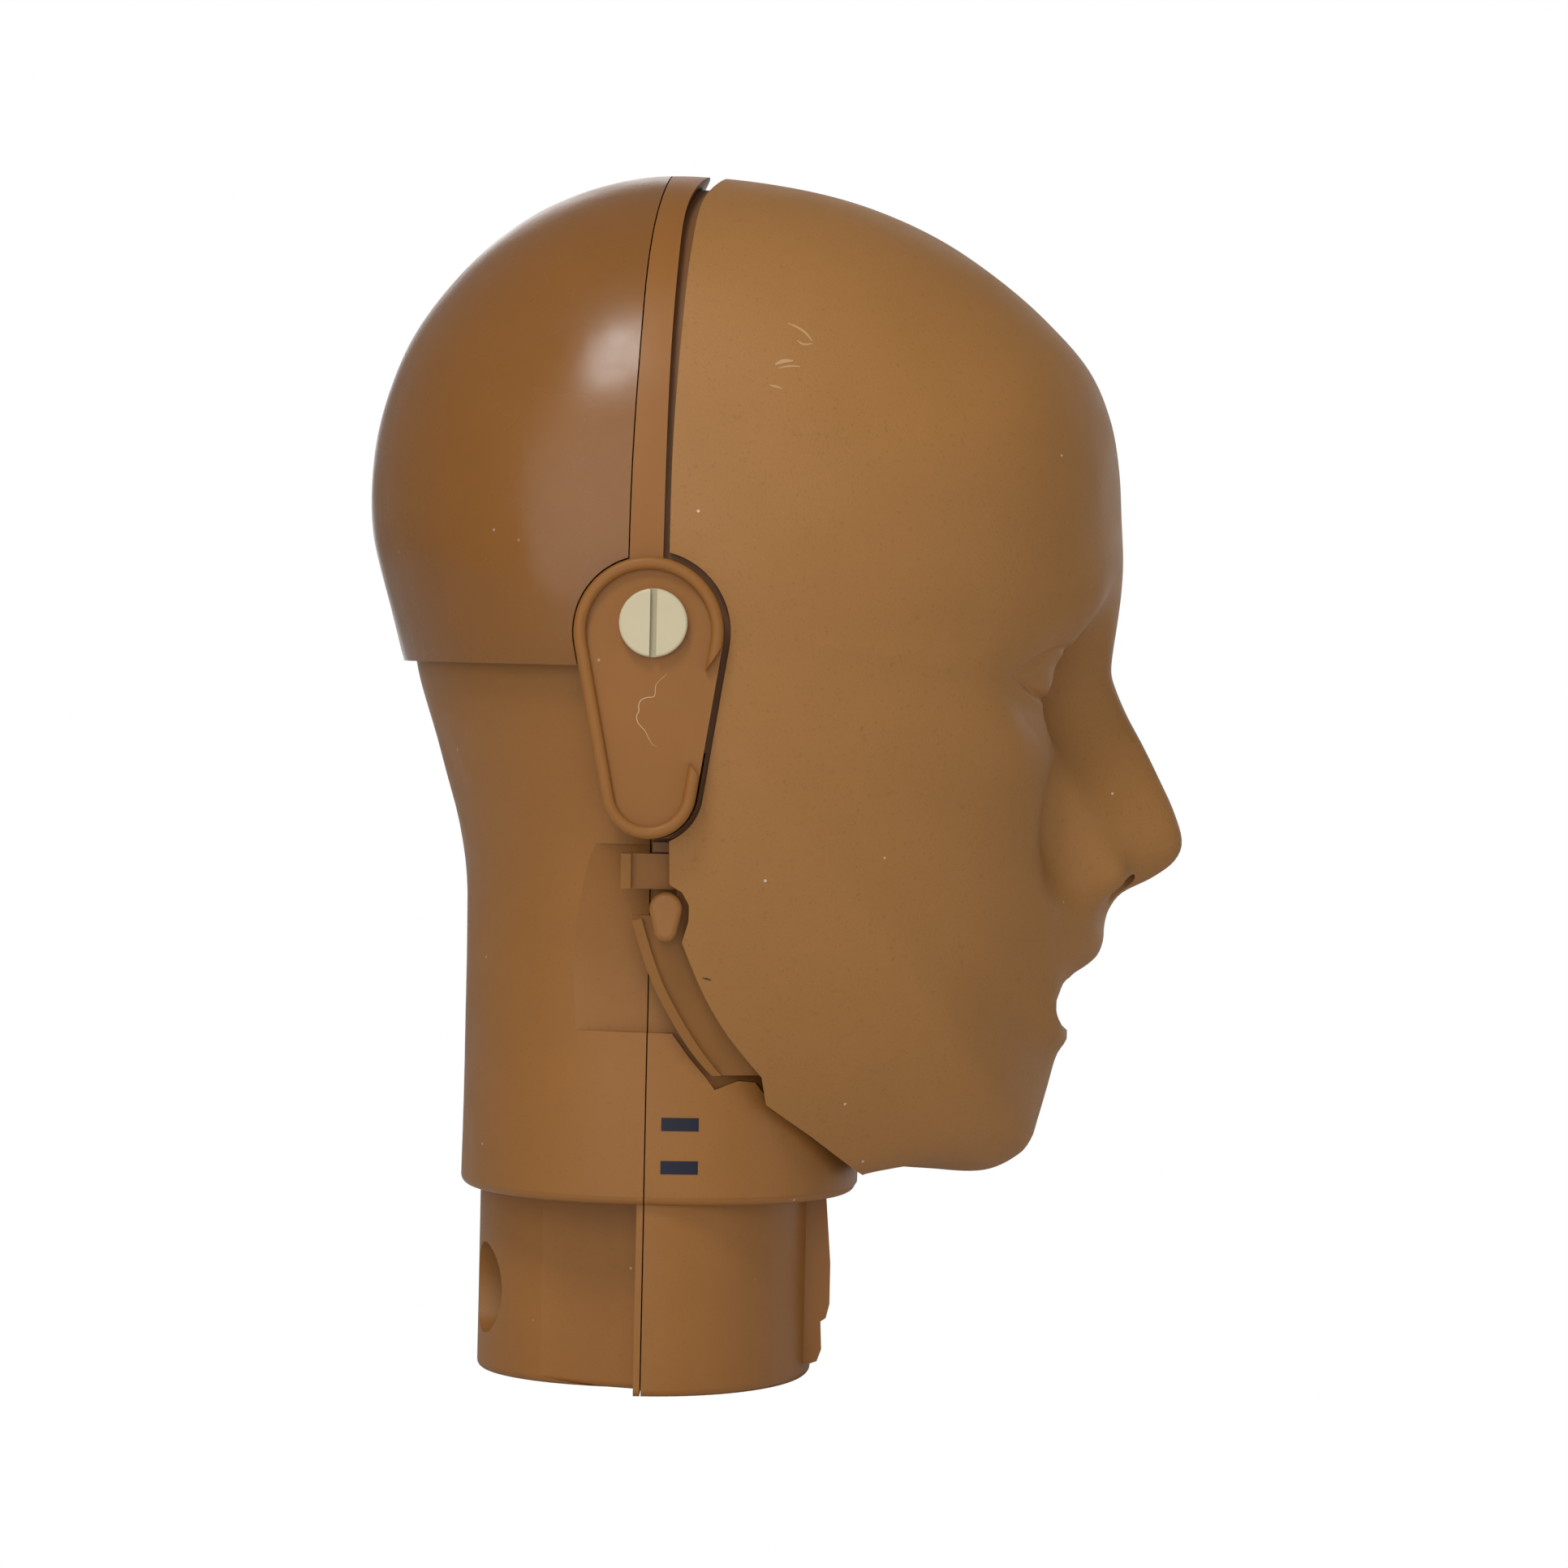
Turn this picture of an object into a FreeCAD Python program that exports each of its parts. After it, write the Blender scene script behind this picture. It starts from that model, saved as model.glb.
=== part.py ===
"""Manikin head on a neck plug, with a tilting head and a sliding jaw.

Millimetres. +X is towards the face, +Y towards the head's own left ear, +Z up.
The origin is at the centre of the stem's foot, on the plane where the neck halves meet.
"""
import FreeCAD, Part
import math
import os
from FreeCAD import Vector

doc = FreeCAD.newDocument("manikin_head")

# Driving dimensions
SIZES = [
    ("pivot_height", 174.0, "tilt axis above the stem's foot"),
    ("head_half_width", 74.0, "side of the head at the ears"),
    ("cap_wall", 2.2, "skull cap"),
    ("band_wall", 2.4, "hoop over the crown"),
    ("skin_wall", 2.4, "soft face"),
    ("frame_gap", 0.6, "between skin and stiff mask"),
    ("frame_wall", 2.0, "stiff mask"),
    ("seam_gap", 0.3, "between cap and band"),
    ("skin_edge_gap", 1.5, "between ear plate and skin"),
    ("rim_drop", 9.7, "cap rim below the tilt axis"),
    ("ear_top_radius", 16.6, "round top of the ear plate"),
    ("ear_foot_radius", 10.5, "round foot of the ear plate"),
    ("ear_length", 35.2, "between the centres of the ear plate's rounds"),
    ("ear_drop", 2.0, "centre of the plate's top round below the tilt axis"),
    ("ear_back", 1.0, "centre of the plate's top round behind the tilt axis"),
    ("ear_floor_out", 1.3, "ear plate's floor beyond the side of the head"),
    ("ear_rim_height", 2.0, "ear plate's rim above its floor"),
    ("ear_rim_width", 2.8, "ear plate's rim"),
    ("ear_wall", 2.2, "skirt under the ear plate"),
    ("neck_wall", 3.8, "neck shells"),
    ("parting_gap", 0.3, "between the neck halves"),
    ("collar_bottom", 43.3, "collar's lower face above the foot"),
    ("collar_half_width", 54.0, "side of the collar"),
    ("collar_front", 48.4, "front of the collar"),
    ("collar_rear", 44.0, "rear of the collar"),
    ("tower_face", 66.8, "flat side of the neck at the tilt axis"),
    ("tower_radius", 18.0, "round top of the neck's side"),
    ("relief_depth", 2.6, "room for the jaw in the neck's front half"),
    ("stem_front", 38.4, "front of the stem"),
    ("stem_rear", 39.4, "rear of the stem"),
    ("stem_half_width", 52.0, "side of the stem's front half"),
    ("stem_wall", 3.2, "stem"),
    ("recess_height", 19.5, "centre of the finger recess above the foot"),
    ("recess_side", 12.3, "centre of each finger recess from the middle plane"),
    ("recess_half_width", 8.6, "finger recess"),
    ("recess_half_height", 10.5, "finger recess"),
    ("recess_depth", 11.0, "finger recess"),
    ("screw_shank", 5.0, "radius of the pivot screw"),
    ("screw_head", 7.6, "radius of the pivot screw's head"),
    ("screw_head_height", 2.4, "pivot screw's head"),
    ("screw_slot", 1.5, "width of the screwdriver slot"),
    ("running_clearance", 0.06, "radial, shank in its bores"),
    ("insert_radius", 7.0, "brass bush"),
    ("insert_length", 13.0, "brass bush"),
    ("washer_radius", 12.0, "pivot washer"),
    ("washer_thickness", 1.2, "pivot washer"),
    ("jaw_inset", 5.0, "jaw plate under the head's surface"),
    ("jaw_wall", 2.0, "jaw plate"),
    ("jaw_travel", 8.0, "forward slide of the jaw"),
    ("tongue_height", 7.9, "guide tongue of the jaw plate"),
    ("tongue_drop", 51.3, "tongue's top below the tilt axis"),
    ("flange_width", 2.2, "raised rear edge of the thrust arm"),
    ("flange_rise", 1.4, "flange above the jaw plate"),
    ("peg_radius", 3.7, "round head of the guide peg"),
    ("peg_tail", 2.6, "radius of the peg head's tail"),
    ("peg_shank", 1.9, "radius of the guide peg's shank"),
    ("peg_head", 3.0, "thickness of the guide peg's head"),
    ("joint_screw_shank", 1.7, "radius of the small screws"),
    ("joint_screw_head", 3.4, "radius of the small screws' heads"),
    ("duct_half_width", 14.0, "airway duct"),
    ("duct_depth", 13.0, "airway duct"),
    ("duct_wall", 1.6, "airway duct"),
    ("mouth_half_width", 19.0, "mouth opening"),
    ("mouth_half_height", 6.4, "mouth opening"),
    ("mouth_drop", 86.6, "mouth's centre below the tilt axis"),
    ("nostril_radius", 2.2, "nostril"),
]

sheet = doc.addObject("Spreadsheet::Sheet", "sizes")
for row, (alias, value, note) in enumerate(SIZES, 1):
    sheet.set(f"A{row}", note)
    sheet.set(f"B{row}", str(value))
    sheet.setAlias(f"B{row}", alias)
doc.recompute()


def size(alias):
    return float(sheet.get(alias))


PIVOT = size("pivot_height")
HALF_WIDTH = size("head_half_width")
REACH = 400.0
RIGHT = -1.0
LEFT = 1.0
SIDES = (("right", RIGHT), ("left", LEFT))


# Small helpers
def keep(name, shape):
    """Hold a shape worked out below as an object of the document."""
    item = doc.addObject("Part::Feature", name)
    item.Shape = shape
    item.Visibility = False
    return item


def blend(low, high, value):
    """Go smoothly from 0 at low to 1 at high."""
    share = min(1.0, max(0.0, (value - low) / (high - low)))
    return share * share * (3.0 - 2.0 * share)


def smooth_table(points):
    """Give a function that runs smoothly through (place, value) points."""
    places = [place for place, value in points]
    values = [value for place, value in points]
    last = len(points) - 1
    slopes = []
    for i in range(last + 1):
        before = max(0, i - 1)
        after = min(last, i + 1)
        slopes.append((values[after] - values[before]) / (places[after] - places[before]))

    def read(place):
        if place <= places[0]:
            return values[0]
        if place >= places[last]:
            return values[last]
        i = max(j for j in range(last) if places[j] <= place)
        span = places[i + 1] - places[i]
        t = (place - places[i]) / span
        return ((1 + 2 * t) * (1 - t) ** 2 * values[i] + t * (1 - t) ** 2 * span * slopes[i]
                + t * t * (3 - 2 * t) * values[i + 1] + t * t * (t - 1) * span * slopes[i + 1])

    return read


def polar(outline):
    """Turn (x, z) points about the tilt axis into (degrees, radius), in order of angle."""
    rows = []
    for x, z in outline:
        angle = math.degrees(math.atan2(z, x))
        if angle < -120.0:
            angle += 360.0
        rows.append((angle, math.hypot(x, z)))
    return sorted(rows)


# Head surface, as a distance from the tilt axis
# The outlines are in the middle plane, relative to the tilt axis, from the chin floor over the crown.
MIDLINE = [
    (49.0, -124.6), (65.0, -125.8), (78.4, -125.9), (86.5, -121.9), (89.3, -118.0), (90.4, -114.2),
    (92.5, -106.6), (94.6, -98.9), (97.3, -94.3), (97.3, -90.5), (96.4, -87.3), (96.8, -83.4),
    (99.8, -79.0), (103.6, -75.4), (105.0, -71.8), (105.2, -68.3), (106.2, -64.5), (109.2, -60.6),
    (116.5, -56.7), (121.4, -52.8), (123.0, -48.4), (121.0, -41.4), (117.4, -33.8), (113.6, -26.3),
    (109.5, -18.8), (106.3, -11.3), (105.8, -7.5), (106.6, 0.1), (107.8, 15.4), (107.2, 26.8),
    (106.4, 38.1), (104.2, 49.5), (99.2, 60.8), (89.3, 72.0), (76.0, 83.1), (64.2, 90.7),
    (47.7, 97.9), (24.8, 103.1), (5.6, 104.6), (-3.0, 104.5), (-14.3, 102.3), (-25.3, 98.3),
    (-35.4, 92.4), (-44.9, 84.4), (-51.8, 76.6), (-57.3, 68.9), (-61.4, 61.2), (-64.2, 53.6),
    (-66.4, 45.9), (-67.8, 34.5), (-68.0, 23.1), (-65.6, 11.7), (-63.6, 4.2), (-61.3, -3.4),
    (-59.7, -9.7), (-56.5, -18.0), (-52.0, -26.0),
]
FACE_PLANE = [
    (78.4, -125.9), (86.5, -121.9), (89.3, -118.0), (90.4, -108.0), (90.8, -98.0), (92.5, -88.0),
    (95.0, -76.0), (96.4, -64.0), (97.2, -52.0), (98.0, -38.0), (99.2, -25.0), (101.2, -12.0),
    (104.2, 0.0), (106.6, 12.0), (107.2, 26.8),
]
# Under the jaw the sides of the head follow this radius, in degrees and millimetres.
JAW_SIDE = [(-104.0, 168.0), (-90.0, 168.0), (-82.0, 164.0), (-76.0, 157.0), (-70.0, 150.0), (-64.0, 149.0),
            (-58.0, 148.5), (-50.0, 143.0)]
ROUNDNESS = [(-104.0, 1.0), (-62.0, 1.0), (-50.0, 1.08), (-38.0, 1.08), (-20.0, 1.02), (0.0, 0.98),
             (20.0, 0.9), (42.0, 0.82), (230.0, 0.82)]
NOSE_WIDTH = [(-58.0, 30.0), (-48.0, 26.0), (-40.0, 25.0), (-35.0, 23.0), (-31.0, 17.0), (-27.0, 14.0),
              (-22.0, 12.0), (-15.0, 9.5), (-8.0, 9.0), (0.0, 12.0), (10.0, 18.0)]
# Rounds and hollows of the face: degrees, sideways place, height there, spread in degrees and in mm.
FACE_BUMPS = [
    (-8.5, 31.0, -8.0, 5.5, 12.0),
    (-8.0, 31.0, 5.6, 3.4, 9.0),
    (-7.5, 15.5, -13.0, 8.0, 7.5),
    (5.0, 27.0, 1.8, 4.5, 12.0),
    (-28.0, 12.5, 6.0, 3.0, 4.2),
    (-26.0, 22.5, -6.0, 6.5, 5.5),
    (-20.0, 44.0, 1.8, 8.0, 12.0),
]

midline_radius = smooth_table(polar(MIDLINE))
plane_radius = smooth_table(polar(FACE_PLANE))
jaw_radius = smooth_table(JAW_SIDE)
roundness = smooth_table(ROUNDNESS)
nose_width = smooth_table(NOSE_WIDTH)
CHIN_FLOOR = (-66.0, -50.0)
FLOOR_SPREAD = (8.0, 38.0)
BROW = math.degrees(math.atan2(26.8, 107.2))
CHIN = math.degrees(math.atan2(-121.9, 86.5))


def head_radius(angle, side):
    """Give the radius of the head's surface at an angle and a share of its half width."""
    y = abs(HALF_WIDTH * math.sin(side))
    top = midline_radius(angle)
    base = plane_radius(angle) if CHIN < angle < BROW else top
    ridge = (top - base) * math.exp(-(y / nose_width(angle)) ** 2)
    jaw = 1.0 - blend(CHIN_FLOOR[0], CHIN_FLOOR[1], angle)
    sideways = blend(FLOOR_SPREAD[0], FLOOR_SPREAD[1], y)
    hidden = 1.0 - blend(-74.0, -69.0, angle)
    share = jaw * max(sideways, hidden)
    base = base + (jaw_radius(angle) - base) * share
    radius = base * math.cos(side) ** roundness(angle) + ridge
    for place, across, height, tall, wide in FACE_BUMPS:
        bump = math.exp(-((angle - place) / tall) ** 2 - ((y - across) / wide) ** 2)
        radius += height * bump
    return radius


EAR_LATITUDE = 86.5
FACE_ANGLES = [-104, -96, -88, -80, -74, -69, -65, -61.5, -58, -55, -52, -49, -46.5, -44, -41.5, -39, -36.5,
               -34, -31.5, -29, -26.5, -24, -21.5, -19, -16, -13, -10, -7, -4, -1, 3, 8, 14, 20, 27, 34,
               42, 50, 60, 70, 80, 90, 100]
FACE_LATITUDES = [0, 3.7, 7.5, 11.5, 15.5, 19.5, 24, 29, 35, 42, 50, 58, 66, 73, 79, 83.5, EAR_LATITUDE]
REAR_ANGLES = [60, 68, 76, 84, 92, 100, 108, 116, 124, 132, 140, 148, 156, 164, 172, 180, 188, 196, 204, 212]
REAR_LATITUDES = [0, 9, 18, 27, 36, 45, 54, 62, 69, 75, 80, 84, EAR_LATITUDE]
HOOP_ANGLES = [50, 57, 64, 71, 78, 84, 90, 96, 102, 109, 116, 123, 130]
KINDS = {
    "face": (FACE_ANGLES, FACE_LATITUDES),
    "rear": (REAR_ANGLES, REAR_LATITUDES),
    "hoop": (HOOP_ANGLES, REAR_LATITUDES),
}


def both_sides(latitudes):
    return [-a for a in reversed(latitudes) if a > 0] + list(latitudes)


def planar(edges):
    return Part.Face(Part.Wire(Part.__sortEdges__(edges)))


class Sheet:
    """One head surface, sunk by an inset, with its four corners and four edges."""

    def __init__(self, kind, inset):
        angles, latitudes = KINDS[kind]
        grid = []
        for angle in angles:
            turn = math.radians(angle)
            row = []
            for latitude in both_sides(latitudes):
                side = math.radians(latitude)
                radius = head_radius(angle, side) - inset
                y = (HALF_WIDTH - inset) * math.sin(side)
                row.append(Vector(radius * math.cos(turn), y, PIVOT + radius * math.sin(turn)))
            grid.append(row)
        surface = Part.BSplineSurface()
        surface.interpolate(grid)
        self.face = surface.toShape()
        self.corners = {("start", "right"): grid[0][0], ("start", "left"): grid[0][-1],
                        ("finish", "right"): grid[-1][0], ("finish", "left"): grid[-1][-1]}
        self.edges = {}
        for edge in self.face.Edges:
            ends = [vertex.Point for vertex in edge.Vertexes]
            if abs(ends[0].y - ends[1].y) < 1e-3:
                self.edges["right" if ends[0].y < 0 else "left"] = edge
            else:
                first = min((end - grid[0][0]).Length for end in ends) < 1e-3
                self.edges["start" if first else "finish"] = edge


def closed_solid(faces):
    shell = Part.makeShell(faces)
    shell.sewShape()
    solid = Part.makeSolid(shell)
    if solid.Volume < 0:
        solid.reverse()
    return solid


LAYERS = {}


def layer(kind, outer, inner):
    """Give the layer of the head between two insets, made once."""
    key = (kind, round(outer, 3), round(inner, 3))
    if key in LAYERS:
        return LAYERS[key]
    out, deep = Sheet(kind, outer), Sheet(kind, inner)
    spokes = {corner: Part.makeLine(out.corners[corner], deep.corners[corner]) for corner in out.corners}
    faces = [out.face, deep.face]
    for end in ("start", "finish"):
        faces.append(planar([out.edges[end], deep.edges[end], spokes[end, "right"], spokes[end, "left"]]))
    for side in ("right", "left"):
        faces.append(Part.makeRuledSurface(out.edges[side], deep.edges[side]))
    LAYERS[key] = closed_solid(faces)
    return LAYERS[key]


def inside(kind, inset):
    """Give the solid between the tilt axis and the head's surface, sunk by inset."""
    out = Sheet(kind, inset)
    axis_ends = {"right": Vector(0, out.corners["start", "right"].y, PIVOT),
                 "left": Vector(0, out.corners["start", "left"].y, PIVOT)}
    axis = Part.makeLine(axis_ends["right"], axis_ends["left"])
    spokes = {}
    for end, side in out.corners:
        spokes[end, side] = Part.makeLine(axis_ends[side], out.corners[end, side])
    faces = [out.face]
    for end in ("start", "finish"):
        faces.append(planar([out.edges[end], spokes[end, "right"], axis, spokes[end, "left"]]))
    for side in ("right", "left"):
        faces.append(planar([out.edges[side], spokes["start", side], spokes["finish", side]]))
    return closed_solid(faces)


# Profiles seen from the side, relative to the tilt axis, pushed through along Y
def lift(points):
    return [Vector(x, 0.0, PIVOT + z) for x, z in points]


def curve(points):
    line = Part.BSplineCurve()
    line.interpolate(lift(points))
    return line.toShape()


def straight(points):
    places = lift(points)
    return [Part.makeLine(a, b) for a, b in zip(places, places[1:])]


def push(edges, low=-REACH, high=REACH):
    """Push a closed outline in the XZ plane through from y = low to y = high."""
    face = planar(edges)
    face.translate(Vector(0, low, 0))
    return face.extrude(Vector(0, high - low, 0))


def plate(points, low=-REACH, high=REACH):
    return push(straight(points + [points[0]]), low, high)


def teardrop(top, top_radius, foot, foot_radius, low, high):
    """Push the outline round two circles through from y = low to y = high."""
    reach = math.dist(top, foot)
    lean = math.atan2(foot[0] - top[0], top[1] - foot[1])
    spread = math.acos((top_radius - foot_radius) / reach)
    down = lean - math.pi / 2

    def on(centre, radius, angle):
        return (centre[0] + radius * math.cos(angle), centre[1] + radius * math.sin(angle))

    front = down + spread
    back = down - spread
    points = [on(top, top_radius, front), on(top, top_radius, down + math.pi), on(top, top_radius, back),
              on(foot, foot_radius, back), on(foot, foot_radius, down), on(foot, foot_radius, front)]
    places = lift(points)
    edges = [Part.Arc(places[0], places[1], places[2]).toShape(), Part.makeLine(places[2], places[3]),
             Part.Arc(places[3], places[4], places[5]).toShape(), Part.makeLine(places[5], places[0])]
    return push(edges, low, high)


def rod(radius, start, end):
    """Make a round rod between two places."""
    along = end - start
    return Part.makeCylinder(radius, along.Length, start, along)


def cross_rod(radius, x, z, near, far, side):
    """Make a rod along Y on one side, between two distances from the middle plane."""
    return rod(radius, Vector(x, side * near, PIVOT + z), Vector(x, side * far, PIVOT + z))


def block(x0, x1, y0, y1, z0, z1):
    return Part.makeBox(x1 - x0, y1 - y0, z1 - z0, Vector(x0, y0, z0))


HOOP_REAR = [(1.6, 106.5), (-0.9, 98.0), (-2.9, 85.4), (-4.1, 66.5), (-5.2, 40.0), (-5.6, 12.0)]
HOOP_FRONT = [(11.4, 106.5), (5.5, 98.0), (3.6, 85.6), (2.6, 66.6), (2.0, 40.0), (1.8, 12.0)]
SKIN_REAR = [(15.4, 106.5), (8.7, 98.0), (6.2, 85.0), (4.7, 66.0), (3.4, 40.0), (3.2, 12.0)]
EAR_TOP = (-size("ear_back"), -size("ear_drop"))
EAR_FOOT = (-size("ear_back") + 0.7, -size("ear_drop") - size("ear_length"))


def ear_outline(grow, low, high):
    return teardrop(EAR_TOP, size("ear_top_radius") + grow, EAR_FOOT, size("ear_foot_radius") + grow,
                    low, high)


def behind(points, shift):
    """Everything behind a side-view curve that is moved by shift."""
    moved = [(x + shift, z) for x, z in points]
    top, foot = moved[0], moved[-1]
    edges = [curve(moved)] + straight([foot, (foot[0], -REACH), (-REACH, -REACH), (-REACH, top[1]), top])
    return push(edges)


# Skull cap
CAP_EAR_GAP = 0.45


def skull_cap():
    cap = layer("rear", 0.0, size("cap_wall"))
    cap = cap.common(behind(HOOP_REAR, -size("seam_gap")))
    cap = cap.cut(block(-REACH, REACH, -REACH, REACH, -REACH, PIVOT - size("rim_drop")))
    return cap.cut(ear_outline(CAP_EAR_GAP, -REACH, REACH))


# Hoop with its two ear plates
EAR_FLOOR = HALF_WIDTH + size("ear_floor_out")
EAR_RIM = EAR_FLOOR + size("ear_rim_height")
FRAME_OUT = size("skin_wall") + size("frame_gap")
FRAME_IN = FRAME_OUT + size("frame_wall")
FACE_CLEAR = 0.12
EAR_BACK_FACE = HALF_WIDTH - FRAME_OUT + FACE_CLEAR
# The ear plate's rim is left out along the front flank.
RIM_OPENING = [(15.9, -4.0), (10.9, -11.5), (8.0, -30.0), (11.0, -34.0), (30.0, -34.0), (30.0, -4.0)]
RIM_ROUND = 1.2
SKIRT_TOP = -29.0
SKIRT_DEPTH = 6.5
SKIRT_CLEAR = 0.4


def head_band():
    hoop = layer("hoop", 0.0, size("band_wall")).common(behind(HOOP_FRONT, 0.0))
    hoop = hoop.cut(behind(HOOP_REAR, 0.0))
    band = hoop.common(block(-REACH, REACH, -REACH, REACH, PIVOT, PIVOT + REACH))
    for name, side in SIDES:
        low, high = sorted((side * EAR_BACK_FACE, side * EAR_RIM))
        ear = ear_outline(0.0, low, high)
        low, high = sorted((side * EAR_FLOOR, side * (EAR_RIM + 1.0)))
        ear = ear.cut(ear_outline(-size("ear_rim_width"), low, high))
        crest = [edge for edge in ear.Edges if abs(abs(edge.BoundBox.YMin) - EAR_RIM) < 1e-3
                 and abs(abs(edge.BoundBox.YMax) - EAR_RIM) < 1e-3]
        ear = ear.makeFillet(RIM_ROUND, crest).cut(plate(RIM_OPENING, low, high))
        low, high = sorted((side * (EAR_BACK_FACE - SKIRT_DEPTH), side * (EAR_BACK_FACE + 0.5)))
        skirt = ear_outline(0.0, low, high).cut(ear_outline(-size("ear_wall"), -REACH, REACH))
        skirt = skirt.common(block(-REACH, REACH, -REACH, REACH, -REACH, PIVOT + SKIRT_TOP))
        band = band.fuse(ear).fuse(skirt)
    bore = rod(size("screw_shank") + size("running_clearance"), Vector(0, -REACH, PIVOT),
               Vector(0, REACH, PIVOT))
    return band.cut(bore).removeSplitter()


# Soft face
SKIN_SIDE = [(4.4, -49.0), (4.6, -57.9), (7.4, -59.6), (9.0, -62.4), (9.0, -66.0), (7.6, -70.9)]
JAW_LINE = [(7.6, -70.9), (11.4, -80.0), (14.7, -86.4), (18.8, -92.7), (25.9, -101.4)]
SKIN_FOOT = [(25.9, -101.4), (27.0, -107.7), (37.5, -115.4), (46.1, -122.4), (49.4, -125.2)]
MOUTH_FACE = 60.0
NOSTRIL = (107.4, 5.8)


def skin_trim():
    """Everything behind the rear edge of the skin."""
    top, foot = SKIN_REAR[0], SKIN_REAR[-1]
    edges = [curve(SKIN_REAR)]
    edges += straight([foot] + SKIN_SIDE)
    edges += [curve(JAW_LINE)]
    edges += straight(SKIN_FOOT + [(49.4, -REACH), (-REACH, -REACH), (-REACH, top[1]), top])
    return push(edges)


def mouth_cutter():
    centre = Vector(MOUTH_FACE, 0, PIVOT - size("mouth_drop"))
    ellipse = Part.Ellipse(centre + Vector(0, size("mouth_half_width"), 0),
                           centre + Vector(0, 0, size("mouth_half_height")), centre)
    return Part.Face(Part.Wire(ellipse.toShape())).extrude(Vector(REACH, 0, 0))


def face_skin():
    skin = layer("face", 0.0, size("skin_wall"))
    skin = skin.cut(skin_trim()).cut(ear_outline(size("skin_edge_gap"), -REACH, REACH))
    skin = skin.cut(neck_form(-0.8)).cut(mouth_cutter())
    for name, side in SIDES:
        x, y = NOSTRIL
        skin = skin.cut(rod(size("nostril_radius"), Vector(x, side * y, PIVOT - 68.0),
                            Vector(x + 2.6, side * (y - 0.6), PIVOT - 51.0)))
    return max(skin.Solids, key=lambda solid: solid.Volume)


# Neck
# Each row is a height, then the rear, side and front distances from the stem's axis.
def neck_rows():
    low = size("collar_bottom")
    rear = size("collar_rear")
    side = size("collar_half_width")
    front = size("collar_front")
    neck_front = front - 10.0
    return [
        (low, rear, side, front),
        (low + 12.0, rear - 0.2, side, front),
        (low + 24.0, rear - 0.3, side, front - 0.4),
        (low + 40.0, rear - 0.3, side + 0.2, front - 3.0),
        (PIVOT - 74.0, rear - 0.3, side + 1.0, front - 6.4),
        (PIVOT - 60.0, rear, side + 2.5, neck_front + 0.8),
        (PIVOT - 49.0, rear + 1.6, side + 4.5, neck_front),
        (PIVOT - 41.0, rear + 3.6, side + 6.3, neck_front),
        (PIVOT - 33.5, rear + 5.9, side + 8.6, neck_front),
        (PIVOT - 26.0, rear + 8.0, side + 10.8, neck_front),
        (PIVOT - 18.0, rear + 10.6, side + 12.9, neck_front),
        (PIVOT - 10.0, rear + 12.7, side + 14.4, neck_front),
        (PIVOT - 2.0, rear + 13.5, side + 14.6, neck_front),
        (PIVOT + 8.0, rear + 13.0, side + 14.6, neck_front),
        (PIVOT + 20.0, rear + 11.0, side + 14.6, neck_front),
    ]


REAR_FULLNESS = 2.15
FRONT_FULLNESS = 2.4
SECTION_STEPS = 32
SECTION_COUNT = 20
NECK_FORMS = {}


def section_wire(height, rear, side, front):
    points = []
    for i in range(SECTION_STEPS):
        turn = 2 * math.pi * i / SECTION_STEPS
        fullness = FRONT_FULLNESS if math.cos(turn) > 0 else REAR_FULLNESS
        depth = front if math.cos(turn) > 0 else rear
        x = depth * math.copysign(abs(math.cos(turn)) ** (2 / fullness), math.cos(turn))
        y = side * math.copysign(abs(math.sin(turn)) ** (2 / fullness), math.sin(turn))
        points.append(Vector(x, y, height))
    line = Part.BSplineCurve()
    line.interpolate(points, PeriodicFlag=True)
    return Part.Wire(line.toShape())


def neck_form(inset, floor=0.0):
    """Make the neck's solid form, sunk by inset and starting floor above the collar's bottom."""
    key = (round(inset, 3), round(floor, 3))
    if key not in NECK_FORMS:
        rows = neck_rows()
        readers = [smooth_table([(row[0], row[i]) for row in rows]) for i in (1, 2, 3)]
        low = rows[0][0] + floor
        step = (rows[-1][0] - low) / (SECTION_COUNT - 1)
        wires = []
        for i in range(SECTION_COUNT):
            height = low + i * step
            wires.append(section_wire(height, *[read(height) - inset for read in readers]))
        NECK_FORMS[key] = Part.makeLoft(wires, True, False, False)
    return NECK_FORMS[key]


COLLAR_ROUND = 1.8
COLLAR_STEP = 0.06
ROUND_STEPS = 6


def rounded_neck():
    """Make the neck's solid form with a rounded lower edge on the collar."""
    low = size("collar_bottom")
    readers = [smooth_table([(row[0], row[i]) for row in neck_rows()]) for i in (1, 2, 3)]
    wires = []
    for i in range(ROUND_STEPS + 1):
        turn = math.pi / 2 * i / ROUND_STEPS
        height = low + COLLAR_ROUND * (1.0 - math.cos(turn))
        inset = COLLAR_ROUND * (1.0 - math.sin(turn)) + COLLAR_STEP
        wires.append(section_wire(height, *[read(height) - inset for read in readers]))
    above = neck_form(0.0).common(block(-REACH, REACH, -REACH, REACH, low + COLLAR_ROUND, REACH))
    return above.fuse(Part.makeLoft(wires, True, False, False))


STEM_TOP = size("collar_bottom") + size("stem_wall")
STEM_ROUND = 1.6


def round_foot(solid):
    """Round the outer edges of a stem half's foot, away from the parting plane."""
    foot = [edge for edge in solid.Edges
            if abs(edge.BoundBox.ZMax) < 1e-6 and edge.BoundBox.XMax - edge.BoundBox.XMin > 1.5]
    return solid.makeFillet(STEM_ROUND, foot)


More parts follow.
